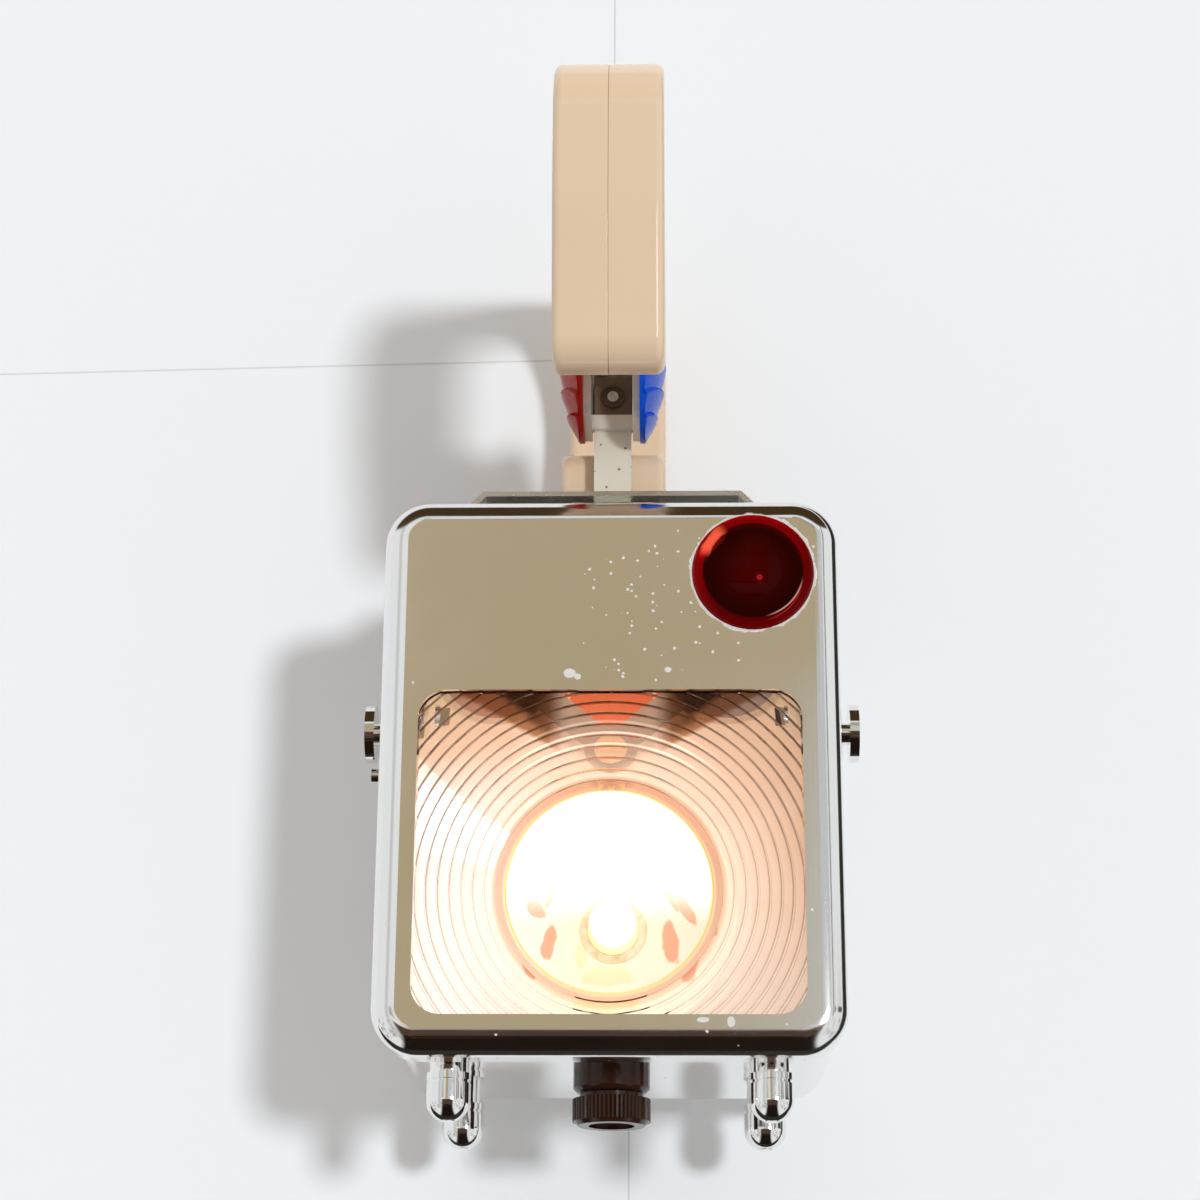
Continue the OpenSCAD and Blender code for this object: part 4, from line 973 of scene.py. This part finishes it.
# Painted reflections in the bowl: x and z from its axis, half width and half height in millimetres,
# tilt, colour.
BOWL_SPOTS = (
    (-13.5, 9, 0.9, 6.5, -25, RED_BROWN), (-18, 3, 2.8, 2.2, -35, RED_BROWN),
    (-15, -4, 1.8, 5.8, -12, RED_BROWN), (12.5, 8.5, 0.9, 6.0, 30, RED_BROWN),
    (17.5, 3, 1.4, 4.6, 30, RED_BROWN), (13.6, -4, 2.2, 6.8, 12, RED_BROWN),
    (-1.5, -11.5, 7.5, 3.4, 0, GOLD), (-7.5, -7, 1.5, 4.2, 0, GOLD),
)
bowl, tree, shader = finish("lit_reflector", (0.2, 0.17, 0.12), 0.5)
light = light_up(tree, shader, (1.0, 1.04, 1.0), 1.0)["Light"]
for x, z, wide, tall, tilt, colour in BOWL_SPOTS:
    spot = LENS_AXIS + Vector((x, 0, z)) * MM
    lean = add(tree, "VectorRotate", rotation_type="Y_AXIS", Angle=math.radians(tilt), Center=spot)
    wire(tree, here(tree), lean.inputs["Vector"])
    drop = blot(tree, spot, wide, tall, ragged=1.0)
    wire(tree, lean.outputs[0], drop.node.inputs["Vector"])
    light = blend_colour(tree, times(tree, drop, 0.9), light, colour)
wire(tree, light, shader.inputs["Emission Color"])
dress(["reflector"], bowl)

socket, tree, shader = finish("lit_socket", (0.1, 0.07, 0.03), 0.6, Emission_Strength=1.0)
wire(tree, blend_colour(tree, cloudy(tree, 420.0, 0.0, 1.0), (0.70, 0.52, 0.24), (1.0, 0.90, 0.66)),
     shader.inputs["Emission Color"])
dress(["main_socket"], socket)

# %% Lever stem seen through the lens
# The stem is painted darker as shade above the bracket's web and inside the box. Inside, where the
# lens shows it, it is painted orange with the bulb's light and with highlights on its edges.
STEM_EDGE = (10.1 * MM, 10.7 * MM, 0.3 * MM)
tree = nickel.node_tree
shader = tree.nodes["Principled BSDF"]
light = light_up(tree, shader, (1.6, 0.30, 0.03), 0.8, Near=0.035, Far=0.075)
inside = ramp(tree, light["Nearness"], 0.0, 0.15)
x, _, z = xyz(tree, here(tree))
web_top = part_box("finger_bracket")[0].z + 4 * MM
painted_stem_shade = larger(tree, inside, ramp(tree, z, web_top, web_top + 2 * MM))
for label, dark in (("Base Color", (0.21, 0.145, 0.085)), ("Roughness", (0.5, 0.5, 0.5))):
    bright = shader.inputs[label].links[0].from_socket
    wire(tree, blend_colour(tree, painted_stem_shade, bright, dark), shader.inputs[label])
wire(tree, ramp(tree, painted_stem_shade, 0.0, 1.0, 0.25, 0.0), shader.inputs["Metallic"])
# Painted highlights on the stem's edges inside the box.
painted_edge_highlight = times(tree, inside, band(tree, calc(tree, "ABSOLUTE", x), *STEM_EDGE))
light = paint(tree, NO_LIGHT, ((inside, light["Light"]), (painted_edge_highlight, (0.85, 0.42, 0.18))))
wire(tree, light, shader.inputs["Emission Color"])

# %% [markdown]
# ## The stepped lens
#
# The lens is clear glass with a bull's-eye and rings round it. The steep side of each ring catches
# little light and is painted as a thin dark line of shade. The bull's-eye has a thin yellow rim
# with a brownish ring outside it, and the first rings above it and at the left carry painted bright
# arcs.
# All of these follow the radius from the lens axis. Two wedges at the top are painted darker as
# shade, and the upper bull's-eye is painted with a glow.

# %% Main lens glass
RING_START, RING_PITCH = 28.7 * MM, 3.0 * MM
lens_glass, tree, shader = glass("lens_glass", CLEAR, IOR=1.5, Specular_IOR_Level=0.25,
                                 Emission_Strength=1.0)
ring = place(tree, polar, Centre=LENS_AXIS)
x, _, z = xyz(tree, here(tree))
steps = calc(tree, "DIVIDE", minus(tree, ring["Radius"], RING_START), RING_PITCH)
phase = calc(tree, "FRACT", steps)
ringed = ramp(tree, steps, -0.02, 0.02)
# Painted shade: a thin dark line on the steep side of each ring.
painted_riser_shade = times(tree, ramp(tree, phase, 0.84, 0.94, soft=True), ringed,
              ramp(tree, ring["Radius"], 33 * MM, 58 * MM, 0.3, 0.75))
brown_ring = band(tree, ring["Radius"], 27.0 * MM, 29.4 * MM, 0.5 * MM)
sideways = calc(tree, "ABSOLUTE", x)
above = minus(tree, z, times(tree, sideways, 0.6))
# Painted shade: two darker wedges at the top.
painted_wedge_shade = times(tree, ramp(tree, above, 83.5 * MM, 85.5 * MM, soft=True),
              ramp(tree, sideways, 12 * MM, 16 * MM))
base = paint(tree, CLEAR, (
    (painted_riser_shade, (0.30, 0.17, 0.12)),
    (times(tree, brown_ring, 0.75), (0.80, 0.50, 0.36)),
    (painted_wedge_shade, (0.50, 0.32, 0.20)),
    (band(tree, ring["Radius"], 26.2 * MM, 26.7 * MM, 0.2 * MM), (1.0, 0.75, 0.25)),
))
wire(tree, base, shader.inputs["Base Color"])
# Painted highlights on the ring ridges at the top and left, and a painted glow on the upper
# bull's-eye.
ridge = times(tree, band(tree, phase, 0.10, 0.30, 0.08), ringed)
painted_top_highlights = times(tree, band(tree, ring["Angle"], -34, 34, 16),
                 band(tree, ring["Radius"], 37 * MM, 44 * MM, 3 * MM))
painted_left_highlights = times(tree, band(tree, ring["Angle"], -140, -60, 30),
                  band(tree, ring["Radius"], 38 * MM, 52 * MM, 7 * MM), 0.5)
dome = times(tree, ramp(tree, ring["Radius"], 25 * MM, 26.4 * MM, 1.0, 0.0),
             ramp(tree, z, LENS_AXIS.z - 10 * MM, LENS_AXIS.z + 8 * MM, soft=True))
shine = paint(tree, NO_LIGHT, (
    (times(tree, ridge, larger(tree, painted_top_highlights, painted_left_highlights)), (0.34, 0.30, 0.25)),
    (dome, (0.75, 0.70, 0.60)),
))
wire(tree, shine, shader.inputs["Emission Color"])
dress(["main_lens"], lens_glass)
print("lens rings from", round(RING_START / MM, 1), "mm, every", round(RING_PITCH / MM, 1), "mm")

# %% [markdown]
# ## Paper and floor
#
# The white paper stands behind the lamp as a sheet, with the faint seams of the sheets it is laid
# from, and a pale floor lies under the feet for other views. Both can be seen from the front only,
# so that they never hide the lamp. Two dark cards stand just in front of the paper, and only
# mirrors see them.

# %% Paper, floor and reflection cards
UPRIGHT, FLAT = (math.pi / 2, 0, 0), (0, 0, 0)


def card(name, centre, size, rotation, material):
    made = primitive(bpy.ops.mesh.primitive_plane_add, size=1.0, location=centre, rotation=rotation)
    made.name = name
    made.scale = (*size, 1)
    apply_place(made)
    made.data.materials.append(material)
    return made


def one_sided(name, colour):
    made, tree, shader = finish(name, colour, 0.9, Specular_IOR_Level=0.1)
    pick = tree.nodes.new("ShaderNodeMixShader")
    wire(tree, tree.nodes.new("ShaderNodeNewGeometry").outputs["Backfacing"], pick.inputs[0])
    wire(tree, shader.outputs[0], pick.inputs[1])
    wire(tree, tree.nodes.new("ShaderNodeBsdfTransparent").outputs[0], pick.inputs[2])
    wire(tree, pick.outputs[0], tree.nodes["Material Output"].inputs["Surface"])
    return made, tree, shader


PAPER = (0.92, 0.94, 0.965)
PAPER_Y = max(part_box("handle_left")[1].y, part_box("body_shell")[1].y) + 1.5 * MM
SEAM, SEAM_SHARE, SEAM_TILT, SEAM_HALF = (0.45, 0.45, 0.46), 0.6, 0.0213, 0.2 * MM
LEVEL_SEAM = 251.5 * MM
# The upright seams: x, and from which z to which, in millimetres.
UPRIGHT_SEAMS = ((-2, 357, 600), (3.4, -400, 11))
paper, tree, shader = one_sided("paper", PAPER)
x, _, z = xyz(tree, here(tree))
tilted = minus(tree, z, times(tree, x, SEAM_TILT))
seams = times(tree, band(tree, tilted, LEVEL_SEAM - SEAM_HALF, LEVEL_SEAM + SEAM_HALF, 0.3 * MM),
              ramp(tree, x, -22 * MM, -19 * MM, 1.0, 0.0), SEAM_SHARE)
for seam_x, low_z, high_z in UPRIGHT_SEAMS:
    line = times(tree, band(tree, x, seam_x * MM - SEAM_HALF, seam_x * MM + SEAM_HALF, 0.2 * MM),
                 band(tree, z, low_z * MM, high_z * MM, 1 * MM), SEAM_SHARE)
    seams = larger(tree, seams, line)
wire(tree, blend_colour(tree, seams, PAPER, SEAM), shader.inputs["Base Color"])
sheet = card("paper_sheet", (0, PAPER_Y, 0.9), (4, 2.6), UPRIGHT, paper)
sheet.visible_diffuse = sheet.visible_shadow = False
floor = card("floor", (0, -1.0, 0), (4, 2 * (1.0 + PAPER_Y)), FLAT, one_sided("floor", PAPER)[0])
floor.visible_glossy = floor.visible_diffuse = floor.visible_shadow = False
print("paper at y", round(PAPER_Y, 4))

black = bpy.data.materials.new("dark_strip")
black.use_nodes = True
tree = black.node_tree
tree.nodes.remove(tree.nodes["Principled BSDF"])
shade = add(tree, "Emission", Color=(0.03, 0.028, 0.025, 1))
wire(tree, shade.outputs[0], tree.nodes["Material Output"].inputs["Surface"])
for name, x, z, size in (("dark_strip", 0.42, 0.32, (0.50, 0.9)),
                         ("dark_low", 0.0, -0.24, (0.9, 0.34))):
    strip = card(name, (x, PAPER_Y - 4 * MM, z), size, UPRIGHT, black)
    strip.visible_camera = strip.visible_diffuse = False
    strip.visible_shadow = strip.visible_transmission = False

# %% [markdown]
#
# The springs behind the side buttons are the only pieces that don't stay rigid, as each button goes
# in by 2 mm. Each spring gets a mesh of its own here.

# %% Springs
for name, joint, towards in (("catch_spring_left", "catch_left_press", -1),
                             ("catch_spring_right", "catch_right_press", 1)):
    low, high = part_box(name)
    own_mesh(nodes[name])
